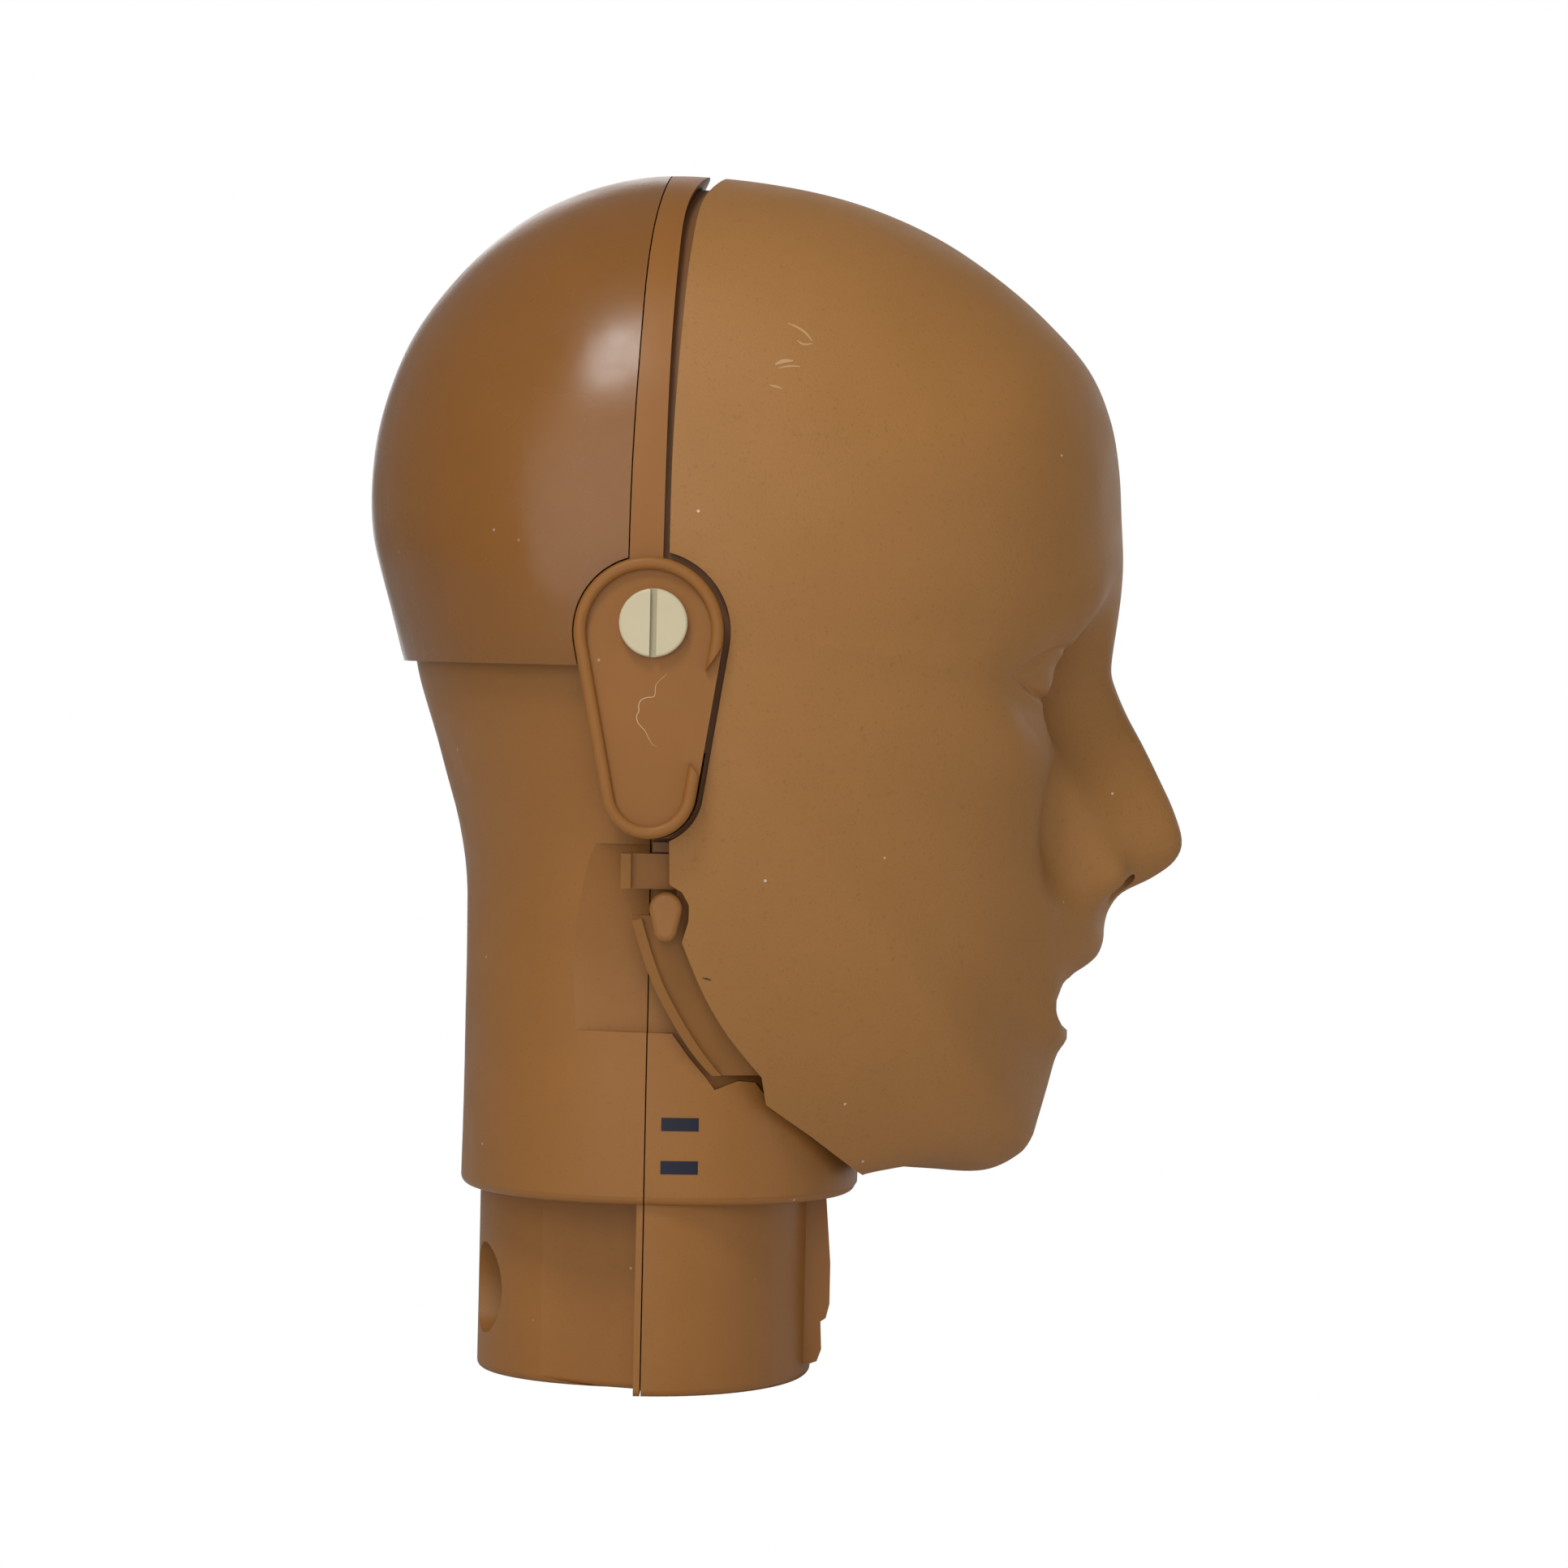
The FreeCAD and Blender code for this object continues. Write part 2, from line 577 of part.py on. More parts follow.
def stem_front(inset, low, high):
    """Half oval of the stem's front."""
    depth = size("stem_front") - inset
    side = size("stem_half_width") - inset
    half = Part.Ellipse(Vector(0, side, 0), Vector(depth, 0, 0), Vector(0, 0, 0))
    solid = Part.Face(Part.Wire(half.toShape())).extrude(Vector(0, 0, high - low))
    solid.translate(Vector(0, 0, low))
    return solid.common(block(-1.0 if inset > 0 else 0.0, REACH, -REACH, REACH, low, high))


STEM_CHEEK = (23.5, 30.5)
STEM_SHOULDER = 40.0


def stem_rear(inset, low, high):
    """Round back and flat cheeks of the stem's rear."""
    back = -size("stem_rear") + inset
    x, y = -STEM_CHEEK[0] + 0.4 * inset, STEM_CHEEK[1] - inset
    shoulder = STEM_SHOULDER - inset
    lip = 1.0 if inset > 0 else 0.0
    arc = Part.Arc(Vector(x, -y, low), Vector(back, 0, low), Vector(x, y, low)).toShape()
    corners = [Vector(x, y, low), Vector(0, shoulder, low), Vector(lip, shoulder, low),
               Vector(lip, -shoulder, low), Vector(0, -shoulder, low), Vector(x, -y, low)]
    lines = [Part.makeLine(a, b) for a, b in zip(corners, corners[1:]) if (a - b).Length > 0]
    return planar([arc] + lines).extrude(Vector(0, 0, high - low))


SHELL_SCREWS = [(38.0, -78.0), (38.0, -34.0)]
BOSS_RADIUS = 5.2
BOSS_REACH = 50.0
BUSH_WALL = 4.0
BUSH_FLOOR = 2.0
RIDGE = 1.6
SCREW_SEAT = 13.0
# Seen from the side, the flat field under the ear, and the room for the jaw in front of it.
FIELD = [(-30.0, -91.6), (5.6, -92.0), (9.4, -97.2), (13.4, -101.8), (15.4, -104.6), (20.5, -102.6),
         (24.4, -102.9), (27.6, -107.0), (40.0, -107.0), (40.0, -49.5), (-30.0, -49.5)]
# Seen from the front, the field's face, as distances from the middle plane.
FIELD_FACE = [(51.1, -108.0), (51.1, -93.0), (51.6, -74.0), (53.3, -62.0), (57.3, -48.0)]


def field_tool(side):
    """Everything outside the field's smooth face on one side, between its top and its foot."""
    places = [Vector(-REACH, side * y, PIVOT + z) for y, z in FIELD_FACE]
    face = Part.BSplineCurve()
    face.interpolate(places)
    foot, top = places[0], places[-1]
    corners = [top, Vector(-REACH, side * REACH, top.z), Vector(-REACH, side * REACH, foot.z), foot]
    edges = [face.toShape()] + [Part.makeLine(a, b) for a, b in zip(corners, corners[1:])]
    return planar(edges).extrude(Vector(2 * REACH, 0, 0))


def neck_tube():
    """Give the whole neck wall, before it is parted into a rear and a front half."""
    outer = neck_form(0.0)
    tube = rounded_neck().cut(neck_form(size("neck_wall"), size("stem_wall")))
    tower = rod(size("tower_radius"), Vector(0, -REACH, PIVOT), Vector(0, REACH, PIVOT))
    below = block(-REACH, REACH, -REACH, REACH, -REACH, PIVOT + 5.0)
    tube = tube.common(tower.fuse(below))
    room = outer.cut(neck_form(size("relief_depth"))).common(plate(FIELD))
    tube = tube.cut(room.common(block(0.0, REACH, -REACH, REACH, 0.0, REACH)))
    for name, side in SIDES:
        tube = tube.cut(field_tool(side).common(plate(FIELD)))
    face = size("tower_face")
    for name, side in SIDES:
        low, high = sorted((side * face, side * REACH))
        tube = tube.cut(block(-18.6, REACH, low, high, PIVOT - 60.0, PIVOT + 30.0))
    return tube


def neck_bosses():
    """Bosses for the shell screws and the pivot bushes, inside the neck."""
    face = size("tower_face")
    outer = neck_form(0.0).common(block(-REACH, REACH, -face, face, 0.0, REACH))
    bosses = []
    for name, side in SIDES:
        near = face - size("insert_length") - BUSH_FLOOR
        bosses.append(cross_rod(size("insert_radius") + BUSH_WALL, 0.0, 0.0, near, face, side))
        for y, z in SHELL_SCREWS:
            rear = Vector(-BOSS_REACH, side * y, PIVOT + z)
            front = Vector(BOSS_REACH, side * y, PIVOT + z)
            bosses.append(rod(BOSS_RADIUS, rear, front))
    return [boss.common(outer) for boss in bosses]


def pivot_bores():
    tools = []
    radius = size("insert_radius") + size("running_clearance")
    for name, side in SIDES:
        near = size("tower_face") - size("insert_length")
        tools.append(cross_rod(radius, 0.0, 0.0, near, REACH, side))
    return tools


def screw_bores(front):
    tools = []
    for name, side in SIDES:
        for y, z in SHELL_SCREWS:
            here = Vector(0, side * y, PIVOT + z)
            if front:
                tools.append(rod(size("joint_screw_shank") + 0.15, here - Vector(2, 0, 0),
                                 here + Vector(60, 0, 0)))
                tools.append(rod(size("joint_screw_head") + 0.3, here + Vector(SCREW_SEAT, 0, 0),
                                 here + Vector(60, 0, 0)))
            else:
                tools.append(rod(size("joint_screw_shank") + 0.03, here - Vector(14, 0, 0),
                                 here + Vector(2, 0, 0)))
    return tools


def cut_all(shape, tools):
    for tool in tools:
        shape = shape.cut(tool)
    return shape


def finger_recess(side, grow, start, depth):
    """Give the oval prism of one finger recess, from a place behind the stem inwards."""
    centre = Vector(start, side * size("recess_side"), size("recess_height"))
    wide = size("recess_half_width") + grow
    tall = size("recess_half_height") + grow
    ellipse = Part.Ellipse(centre + Vector(0, 0, tall), centre + Vector(0, wide, 0), centre)
    return Part.Face(Part.Wire(ellipse.toShape())).extrude(Vector(depth, 0, 0))


def neck_rear_shell(tube, bosses):
    wall = size("stem_wall")
    half = block(-REACH, -size("parting_gap") / 2, -REACH, REACH, -REACH, REACH)
    shell = tube.fuse(round_foot(stem_rear(0.0, 0.0, STEM_TOP)))
    ridge = round_foot(stem_front(0.0, 0.0, STEM_TOP)).mirror(Vector(0, 0, 0), Vector(1, 0, 0))
    shell = shell.fuse(ridge.common(block(-RIDGE, 0.0, -REACH, REACH, 0.0, STEM_TOP)))
    shell = shell.cut(stem_rear(wall, -1.0, STEM_TOP + 1.0))
    for name, side in SIDES:
        cup = finger_recess(side, 2.0, -size("stem_rear") + 1.0, size("recess_depth") + 1.0)
        shell = shell.fuse(cup.common(stem_rear(0.0, 0.0, STEM_TOP)))
    for name, side in SIDES:
        shell = shell.cut(finger_recess(side, 0.0, -size("stem_rear") - 5.0, size("recess_depth") + 5.0))
    shell = shell.multiFuse(bosses).common(half)
    return cut_all(shell, pivot_bores() + screw_bores(False))


LUG = [(35.6, 43.3), (41.3, 43.3), (42.6, 27.0), (42.6, 17.5), (41.8, 14.2), (40.6, 13.4), (40.9, 7.0),
       (39.9, 4.2), (38.3, 3.6), (35.6, 3.6)]
LUG_HALF_WIDTH = 15.0


def neck_front_shell(tube, bosses):
    wall = size("stem_wall")
    half = block(size("parting_gap") / 2, REACH, -REACH, REACH, -REACH, REACH)
    shell = tube.fuse(round_foot(stem_front(0.0, 0.0, STEM_TOP)))
    lug = plate([(x, z - PIVOT) for x, z in LUG], -LUG_HALF_WIDTH, LUG_HALF_WIDTH)
    shell = shell.fuse(lug).cut(stem_front(wall, -1.0, STEM_TOP + 1.0))
    shell = shell.multiFuse(bosses).common(half)
    return cut_all(shell, pivot_bores() + screw_bores(True))


def shell_screws():
    screws = []
    for name, side in SIDES:
        for y, z in SHELL_SCREWS:
            seat = Vector(SCREW_SEAT, side * y, PIVOT + z)
            shank = rod(size("joint_screw_shank"), seat - Vector(SCREW_SEAT + 12.0, 0, 0),
                        seat + Vector(0.5, 0, 0))
            head = rod(size("joint_screw_head"), seat + Vector(0.02, 0, 0), seat + Vector(2.4, 0, 0))
            screws.append(shank.fuse(head))
    return Part.makeCompound(screws)


# Stiff mask with the guide tabs of the jaw
TAB_OUT = size("jaw_inset") + size("jaw_wall") + 0.5
TAB_IN = TAB_OUT + 2.0
TONGUE_TOP = -size("tongue_drop")
TONGUE_FOOT = TONGUE_TOP - size("tongue_height")
PEG_PLACE = (3.9, -63.4)
PEG_TAIL = (3.9, -68.2)
TAB_REAR = 1.0
FRAME_FOOT = TONGUE_TOP + 5.0
TAB_FOOT = -69.5
MASK_FRONT = 46.0
MASK_FOOT = -75.5
NOSE_WINDOW = (80.0, 24.0, -62.0, -24.0)


def face_frame():
    mask = layer("face", FRAME_OUT, FRAME_IN)
    upper = plate([(-0.6, 110.0), (-0.6, FRAME_FOOT), (150.0, FRAME_FOOT), (150.0, 110.0)])
    lower = plate([(MASK_FRONT, FRAME_FOOT + 1.0), (MASK_FRONT, MASK_FOOT), (150.0, MASK_FOOT),
                   (150.0, FRAME_FOOT + 1.0)])
    mask = mask.common(upper.fuse(lower))
    x, y, foot, top = NOSE_WINDOW
    mask = mask.cut(block(x, REACH, -y, y, PIVOT + foot, PIVOT + top))
    step = layer("face", FRAME_OUT, TAB_IN).common(
        plate([(-0.6, FRAME_FOOT + 2.0), (-0.6, FRAME_FOOT - 1.5), (22.0, FRAME_FOOT - 1.5),
               (22.0, FRAME_FOOT + 2.0)]))
    tab = layer("face", TAB_OUT, TAB_IN).common(
        plate([(TAB_REAR, FRAME_FOOT + 2.0), (TAB_REAR, TAB_FOOT), (22.0, TAB_FOOT),
               (22.0, FRAME_FOOT + 2.0)]))
    lip = layer("face", size("jaw_inset"), TAB_IN).common(
        plate([(0.6, TONGUE_TOP + 2.6), (0.6, TONGUE_TOP + 0.4), (22.0, TONGUE_TOP + 0.4),
               (22.0, TONGUE_TOP + 2.6)]))
    ears = [cross_rod(14.0, 0.0, 0.0, HALF_WIDTH - FRAME_IN - 0.1, HALF_WIDTH - FRAME_OUT - 0.2, side)
            for name, side in SIDES]
    skirt_room = ear_outline(SKIRT_CLEAR, -REACH, REACH).common(
        block(-REACH, REACH, -REACH, REACH, -REACH, PIVOT + SKIRT_TOP + SKIRT_CLEAR))
    frame = mask.multiFuse([step, tab, lip] + ears).cut(skirt_room)
    bore = rod(size("screw_shank") + size("running_clearance"), Vector(0, -REACH, PIVOT),
               Vector(0, REACH, PIVOT))
    frame = frame.cut(bore)
    peg = rod(size("peg_shank") + 0.05, Vector(PEG_PLACE[0], -REACH, PIVOT + PEG_PLACE[1] + 1.0),
              Vector(PEG_PLACE[0], REACH, PIVOT + PEG_PLACE[1] + 1.0))
    return frame.cut(peg).removeSplitter()


# Jaw
ARM_REAR = [(-3.7, -66.2), (-1.4, -73.8), (1.4, -81.1), (5.2, -88.3), (9.8, -95.6), (14.7, -101.3)]
JAW_FRONT = MASK_FRONT - size("jaw_travel") - 4.0
JAW_REACH = 56.0
JAW_REACH_TOP = -84.0
SLOT_TOP = TONGUE_FOOT
SLOT_FOOT = -65.2
SLOT_END = PEG_PLACE[0] + size("peg_shank") + 0.3
TONGUE_END = -6.3
JAW_SCREWS = [(51.8, -92.6), (51.8, -99.8)]
HEAD_SUNK = 1.4
HEAD_TALL = 1.1
HEAD_RADIUS = size("joint_screw_head") - 0.4
HEAD_ROOM = 0.12
BRIDGE_OUT = size("jaw_inset") + size("jaw_wall") + 2.6
BRIDGE_IN = BRIDGE_OUT + 2.6


def jaw_plate(side):
    wall = layer("face", size("jaw_inset"), size("jaw_inset") + size("jaw_wall"))
    outline = [curve(ARM_REAR)] + straight([
        ARM_REAR[-1], (26.0, -101.3), (40.0, -104.0), (JAW_REACH, -104.0),
        (JAW_REACH, JAW_REACH_TOP - 5.5), (JAW_REACH - 9.0, JAW_REACH_TOP),
        (JAW_FRONT + 4.0, JAW_REACH_TOP), (JAW_FRONT, JAW_REACH_TOP + 4.0), (JAW_FRONT, TONGUE_TOP),
        (TONGUE_END, TONGUE_TOP), (TONGUE_END, SLOT_TOP), (SLOT_END, SLOT_TOP), (SLOT_END, SLOT_FOOT),
        (ARM_REAR[0][0], SLOT_FOOT), ARM_REAR[0]])
    half = block(-REACH, REACH, min(0.0, side * REACH), max(0.0, side * REACH), -REACH, REACH)
    body = wall.common(push(outline)).common(half)
    width = size("flange_width")
    inner = [(x + width, z + 0.4) for x, z in ARM_REAR]
    inner[-1] = (ARM_REAR[-1][0] + width, ARM_REAR[-1][1])
    strip = [curve(ARM_REAR), curve(inner)]
    strip += straight([ARM_REAR[0], inner[0]]) + straight([ARM_REAR[-1], inner[-1]])
    raised = layer("face", size("jaw_inset") - size("flange_rise"), size("jaw_inset") + size("jaw_wall"))
    flange = raised.common(push(strip)).common(half)
    lip = raised.common(plate([(TONGUE_END, TONGUE_TOP), (TONGUE_END, TONGUE_FOOT),
                               (TONGUE_END + width, TONGUE_FOOT), (TONGUE_END + width, TONGUE_TOP)]))
    body = body.fuse(flange).fuse(lip.common(half))
    for x, z in JAW_SCREWS:
        body = body.cut(cross_rod(size("joint_screw_shank") + 0.1, x, z, 0.0, REACH, side))
        body = body.cut(jaw_screw_head(x, z, side, 0.08, 4.0))
    return body.removeSplitter()


def surface_at(kind_inset, x, z):
    """Give the distance from the middle plane of the head's surface at a side-view place."""
    angle = math.degrees(math.atan2(z, x))
    reach = math.hypot(x, z)
    low, high = 0.0, math.radians(EAR_LATITUDE)
    for i in range(40):
        middle = (low + high) / 2
        if head_radius(angle, middle) - kind_inset > reach:
            low = middle
        else:
            high = middle
    return (HALF_WIDTH - kind_inset) * math.sin(low)


def jaw_screw_head(x, z, side, grow, rise):
    """Give the cone of a countersunk head, sunk into the jaw plate."""
    out = surface_at(size("jaw_inset"), x, z) - HEAD_SUNK
    shank = size("joint_screw_shank")
    base = Vector(x, side * (out - HEAD_TALL), PIVOT + z)
    cone = Part.makeCone(shank + grow, HEAD_RADIUS + grow, HEAD_TALL, base, Vector(0, side, 0))
    if grow > 0:
        top = Vector(x, side * (out - 0.001), PIVOT + z)
        cone = cone.fuse(rod(HEAD_RADIUS + grow, top, top + Vector(0, side * rise, 0)))
    return cone


def jaw_screws():
    screws = []
    for name, side in SIDES:
        for x, z in JAW_SCREWS:
            out = surface_at(size("jaw_inset"), x, z) - HEAD_SUNK - HEAD_TALL
            shank = cross_rod(size("joint_screw_shank"), x, z, out - 6.0, out + 0.01, side)
            screws.append(shank.fuse(jaw_screw_head(x, z, side, 0.0, 0.0)))
    return Part.makeCompound(screws)


BRIDGE_TOP = -93.0
BRIDGE_FOOT = -103.6
BRIDGE_CHEEK_TOP = -88.0
BRIDGE_REAR = 49.5
BRIDGE_FRONT = 56.0
BRIDGE_BAR = 3.5
BRIDGE_BOSS = 3.4
BRIDGE_BAR_INSET = BRIDGE_OUT + 0.9


def chin_bridge():
    """A flat bar from jaw plate to jaw plate, with a cheek and two screw bosses at each end."""
    cheeks = layer("face", BRIDGE_OUT, BRIDGE_IN).common(
        plate([(BRIDGE_REAR, BRIDGE_CHEEK_TOP), (BRIDGE_REAR, BRIDGE_FOOT), (BRIDGE_FRONT, BRIDGE_FOOT),
               (BRIDGE_FRONT, BRIDGE_CHEEK_TOP)]))
    bar = block(BRIDGE_REAR, BRIDGE_REAR + BRIDGE_BAR, -REACH, REACH,
                PIVOT + BRIDGE_FOOT, PIVOT + BRIDGE_TOP)
    band = cheeks.fuse(bar.common(inside("face", BRIDGE_BAR_INSET)))
    under_plate = inside("face", size("jaw_inset") + size("jaw_wall") + 0.1)
    for name, side in SIDES:
        for x, z in JAW_SCREWS:
            near = surface_at(BRIDGE_IN, x, z) - 3.0
            boss = cross_rod(BRIDGE_BOSS, x, z, near, REACH, side)
            band = band.fuse(boss.common(under_plate))
        for x, z in JAW_SCREWS:
            band = band.cut(cross_rod(size("joint_screw_shank") + 0.04, x, z, 30.0, REACH, side))
            seat = surface_at(size("jaw_inset"), x, z) - HEAD_SUNK - HEAD_TALL - HEAD_ROOM
            band = band.cut(cross_rod(HEAD_RADIUS + HEAD_ROOM, x, z, seat, REACH, side))
    return band


# Guide pegs
PEG_ROUND = 1.4


def guide_peg(side):
    under = surface_at(size("jaw_inset") - size("flange_rise") - 0.4, PEG_PLACE[0], PEG_PLACE[1] + 4.0)
    deep = surface_at(TAB_IN, PEG_PLACE[0], PEG_PLACE[1]) - 0.5
    low, high = sorted((side * under, side * (under + size("peg_head"))))
    head = teardrop(PEG_PLACE, size("peg_radius"), PEG_TAIL, size("peg_tail"), low, high)
    crest = [edge for edge in head.Edges if abs(edge.BoundBox.YMin - edge.BoundBox.YMax) < 1e-6
             and abs(abs(edge.BoundBox.YMin) - under - size("peg_head")) < 1e-3]
    head = head.makeFillet(PEG_ROUND, crest)
    shank = cross_rod(size("peg_shank"), PEG_PLACE[0], PEG_PLACE[1] + 1.0, deep, under + 0.5, side)
    return head.fuse(shank).removeSplitter()


# Mouth passage behind the lips
INSERT_BACK = 62.0
INSERT_FRONT = 86.0
INSERT_WALL = 1.6
INSERT_HALF_WIDTH = 16.0
INSERT_HALF_HEIGHT = 5.8


def oval_bar(wide, tall, start, end):
    centre = Vector(start, 0, PIVOT - size("mouth_drop") + 2.0)
    ellipse = Part.Ellipse(centre + Vector(0, wide, 0), centre + Vector(0, 0, tall), centre)
    return Part.Face(Part.Wire(ellipse.toShape())).extrude(Vector(end - start, 0, 0))


def mouth_insert():
    outer = oval_bar(INSERT_HALF_WIDTH, INSERT_HALF_HEIGHT, INSERT_BACK, INSERT_FRONT)
    lug = layer("face", FRAME_IN + 0.3, FRAME_IN + 2.6).common(
        block(60.0, REACH, -22.0, 22.0, PIVOT - 84.0, PIVOT - 66.0))
    web = block(80.0, 83.0, -13.0, 13.0, PIVOT - 83.0, PIVOT - 66.5)
    shelf = block(80.0, 98.0, -13.0, 13.0, PIVOT - 70.5, PIVOT - 68.0)
    body = outer.fuse(web).fuse(shelf).fuse(lug).common(inside("face", FRAME_IN + 0.3))
    inner = oval_bar(INSERT_HALF_WIDTH - INSERT_WALL, INSERT_HALF_HEIGHT - INSERT_WALL,
                     INSERT_BACK - 1.0, REACH)
    body = body.cut(inner)
    return max(body.Solids, key=lambda solid: solid.Volume)


# Airway duct, a plain channel down the inside of the neck's front
def airway_duct():
    half = size("duct_half_width")
    wall = size("duct_wall")
    front = size("stem_front") - size("stem_wall") - 2.0
    back = front - size("duct_depth")
    top = PIVOT - 24.0
    outer = block(back, front, -half, half, 2.0, top)
    inner = block(back + wall, front - wall, -half + wall, half - wall, 0.0, top + 2.0)
    return outer.cut(inner)


# Parts that turn about the tilt axis, with sizes tied to the sheet
def shown(label, source):
    source.Label = label
    return source


def side_cylinder(name, side, radius, near, length):
    """A cylinder along the tilt axis, bound to the sheet by expressions."""
    item = doc.addObject("Part::Cylinder", name)
    turn = 90.0 if side == RIGHT else -90.0
    item.Placement = FreeCAD.Placement(Vector(0, 0, PIVOT), FreeCAD.Rotation(Vector(1, 0, 0), turn))
    item.setExpression("Radius", radius)
    item.setExpression("Height", length)
    item.setExpression(".Placement.Base.y", f"{side} * ({near})")
    item.setExpression(".Placement.Base.z", "sizes.pivot_height")
    return item


def boolean(kind, name, base, tool):
    item = doc.addObject(kind, name)
    item.Base = base
    item.Tool = tool
    return item


FLOOR = "(sizes.head_half_width + sizes.ear_floor_out)"
BUSH_INNER_END = "(sizes.tower_face - sizes.insert_length)"
SCREW_REACH = f"({FLOOR} - {BUSH_INNER_END})"
CROWN_ROUND = 0.6


def pivot_screw(name, side):
    shank = side_cylinder(f"pivot_shank_{name}", side, "sizes.screw_shank", BUSH_INNER_END,
                          f"{SCREW_REACH} + 0.5")
    head = side_cylinder(f"pivot_head_{name}", side, "sizes.screw_head", f"{FLOOR} + 0.02",
                         "sizes.screw_head_height")
    doc.recompute()
    crown = doc.addObject("Part::Fillet", f"pivot_crown_{name}")
    crown.Base = head
    outer = max(range(len(head.Shape.Edges)), key=lambda i: abs(head.Shape.Edges[i].CenterOfMass.y))
    crown.Edges = [(outer + 1, CROWN_ROUND, CROWN_ROUND)]
    slot = doc.addObject("Part::Box", f"pivot_slot_{name}")
    slot.setExpression("Length", "sizes.screw_slot")
    slot.setExpression("Width", "sizes.screw_head_height")
    slot.setExpression("Height", "4 * sizes.screw_head")
    slot.setExpression(".Placement.Base.x", "-sizes.screw_slot / 2")
    middle = f"{side} * ({FLOOR} + sizes.screw_head_height)"
    slot.setExpression(".Placement.Base.y", f"{middle} - sizes.screw_head_height / 2")
    slot.setExpression(".Placement.Base.z", "sizes.pivot_height - 2 * sizes.screw_head")
    joined = boolean("Part::Fuse", f"pivot_blank_{name}", crown, shank)
    return shown(f"pivot_screw_{name}", boolean("Part::Cut", f"pivot_screw_{name}", joined, slot))


def pivot_insert(name, side):
    bush = side_cylinder(f"bush_{name}", side, "sizes.insert_radius", f"{BUSH_INNER_END} + 0.02",
                         "sizes.insert_length - 0.1")
    bore = side_cylinder(f"bush_bore_{name}", side, "sizes.screw_shank + 0.03", BUSH_INNER_END + " - 1",
                         "sizes.insert_length + 4")
    return shown(f"pivot_insert_{name}", boolean("Part::Cut", f"pivot_insert_{name}", bush, bore))


def pivot_washer(name, side):
    disc = side_cylinder(f"disc_{name}", side, "sizes.washer_radius", "sizes.tower_face + 0.03",
                         "sizes.washer_thickness")
    bore = side_cylinder(f"disc_bore_{name}", side, "sizes.screw_shank + sizes.running_clearance",
                         "sizes.tower_face - 1", "6")
    return shown(f"pivot_washer_{name}", boolean("Part::Cut", f"pivot_washer_{name}", disc, bore))


pieces = {}
pieces["skull_cap"] = keep("skull_cap", skull_cap())
pieces["head_band"] = keep("head_band", head_band())
pieces["face_skin"] = keep("face_skin", face_skin())
pieces["face_frame"] = keep("face_frame", face_frame())
pieces["mouth_insert"] = keep("mouth_insert", mouth_insert())
pieces["chin_bridge"] = keep("chin_bridge", chin_bridge())
pieces["jaw_screws"] = keep("jaw_screws", jaw_screws())
whole_neck = neck_tube()
neck_inner_bosses = neck_bosses()
pieces["neck_rear_shell"] = keep("neck_rear_shell", neck_rear_shell(whole_neck, neck_inner_bosses))
pieces["neck_front_shell"] = keep("neck_front_shell", neck_front_shell(whole_neck, neck_inner_bosses))
pieces["shell_screws"] = keep("shell_screws", shell_screws())
pieces["airway_duct"] = keep("airway_duct", airway_duct())
for side_name, side_sign in SIDES:
    pieces[f"jaw_plate_{side_name}"] = keep(f"jaw_plate_{side_name}", jaw_plate(side_sign))
    pieces[f"guide_peg_{side_name}"] = keep(f"guide_peg_{side_name}", guide_peg(side_sign))
    pieces[f"pivot_screw_{side_name}"] = pivot_screw(side_name, side_sign)
    pieces[f"pivot_insert_{side_name}"] = pivot_insert(side_name, side_sign)
    pieces[f"pivot_washer_{side_name}"] = pivot_washer(side_name, side_sign)

doc.recompute()
for item in doc.Objects:
    if {"Invalid", "Error"} & set(item.State):
        raise RuntimeError(f"{item.Name} failed: {item.State}")
for node, piece in pieces.items():
    if piece.Shape.isNull() or not piece.Shape.isValid():
        raise RuntimeError(f"{node} has no valid shape")

os.makedirs("parts", exist_ok=True)
for node, piece in pieces.items():
    piece.Shape.exportStep(f"parts/{node}.step")
    solids = len(piece.Shape.Solids)
    print(f"{node}: {solids} solid(s), {piece.Shape.Volume / 1000:.1f} cm3")
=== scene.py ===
"""Looks of the manikin head: the soft face's fine skin, materials, wear, light and camera.

Outlines are in millimetres about the tilt axis, as in the part's source, and become metres as
they turn into meshes. +X is towards the face, +Y towards the head's own left ear, +Z up.
"""
import math

import bmesh
import bpy
import numpy as np
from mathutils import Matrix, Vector


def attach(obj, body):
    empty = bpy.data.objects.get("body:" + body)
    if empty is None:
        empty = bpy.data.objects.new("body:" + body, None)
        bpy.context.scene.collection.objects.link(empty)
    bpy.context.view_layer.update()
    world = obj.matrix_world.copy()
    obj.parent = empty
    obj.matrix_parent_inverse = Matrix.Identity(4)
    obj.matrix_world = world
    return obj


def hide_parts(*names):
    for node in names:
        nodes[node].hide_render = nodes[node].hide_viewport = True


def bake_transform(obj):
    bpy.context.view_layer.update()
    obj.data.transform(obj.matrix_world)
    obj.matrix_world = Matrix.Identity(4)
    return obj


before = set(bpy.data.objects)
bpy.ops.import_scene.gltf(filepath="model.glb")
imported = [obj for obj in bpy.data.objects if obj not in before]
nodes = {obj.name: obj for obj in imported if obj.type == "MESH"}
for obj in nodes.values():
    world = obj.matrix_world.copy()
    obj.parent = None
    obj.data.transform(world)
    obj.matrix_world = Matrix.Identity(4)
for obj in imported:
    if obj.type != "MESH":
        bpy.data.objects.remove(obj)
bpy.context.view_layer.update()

# Sizes in millimetres that the soft face shares with the part; MM turns them into metres
MM = 0.001
PIVOT = 174.0
HALF_WIDTH = 74.0
SKIN_WALL = 2.4
RIGHT = -1.0
LEFT = 1.0


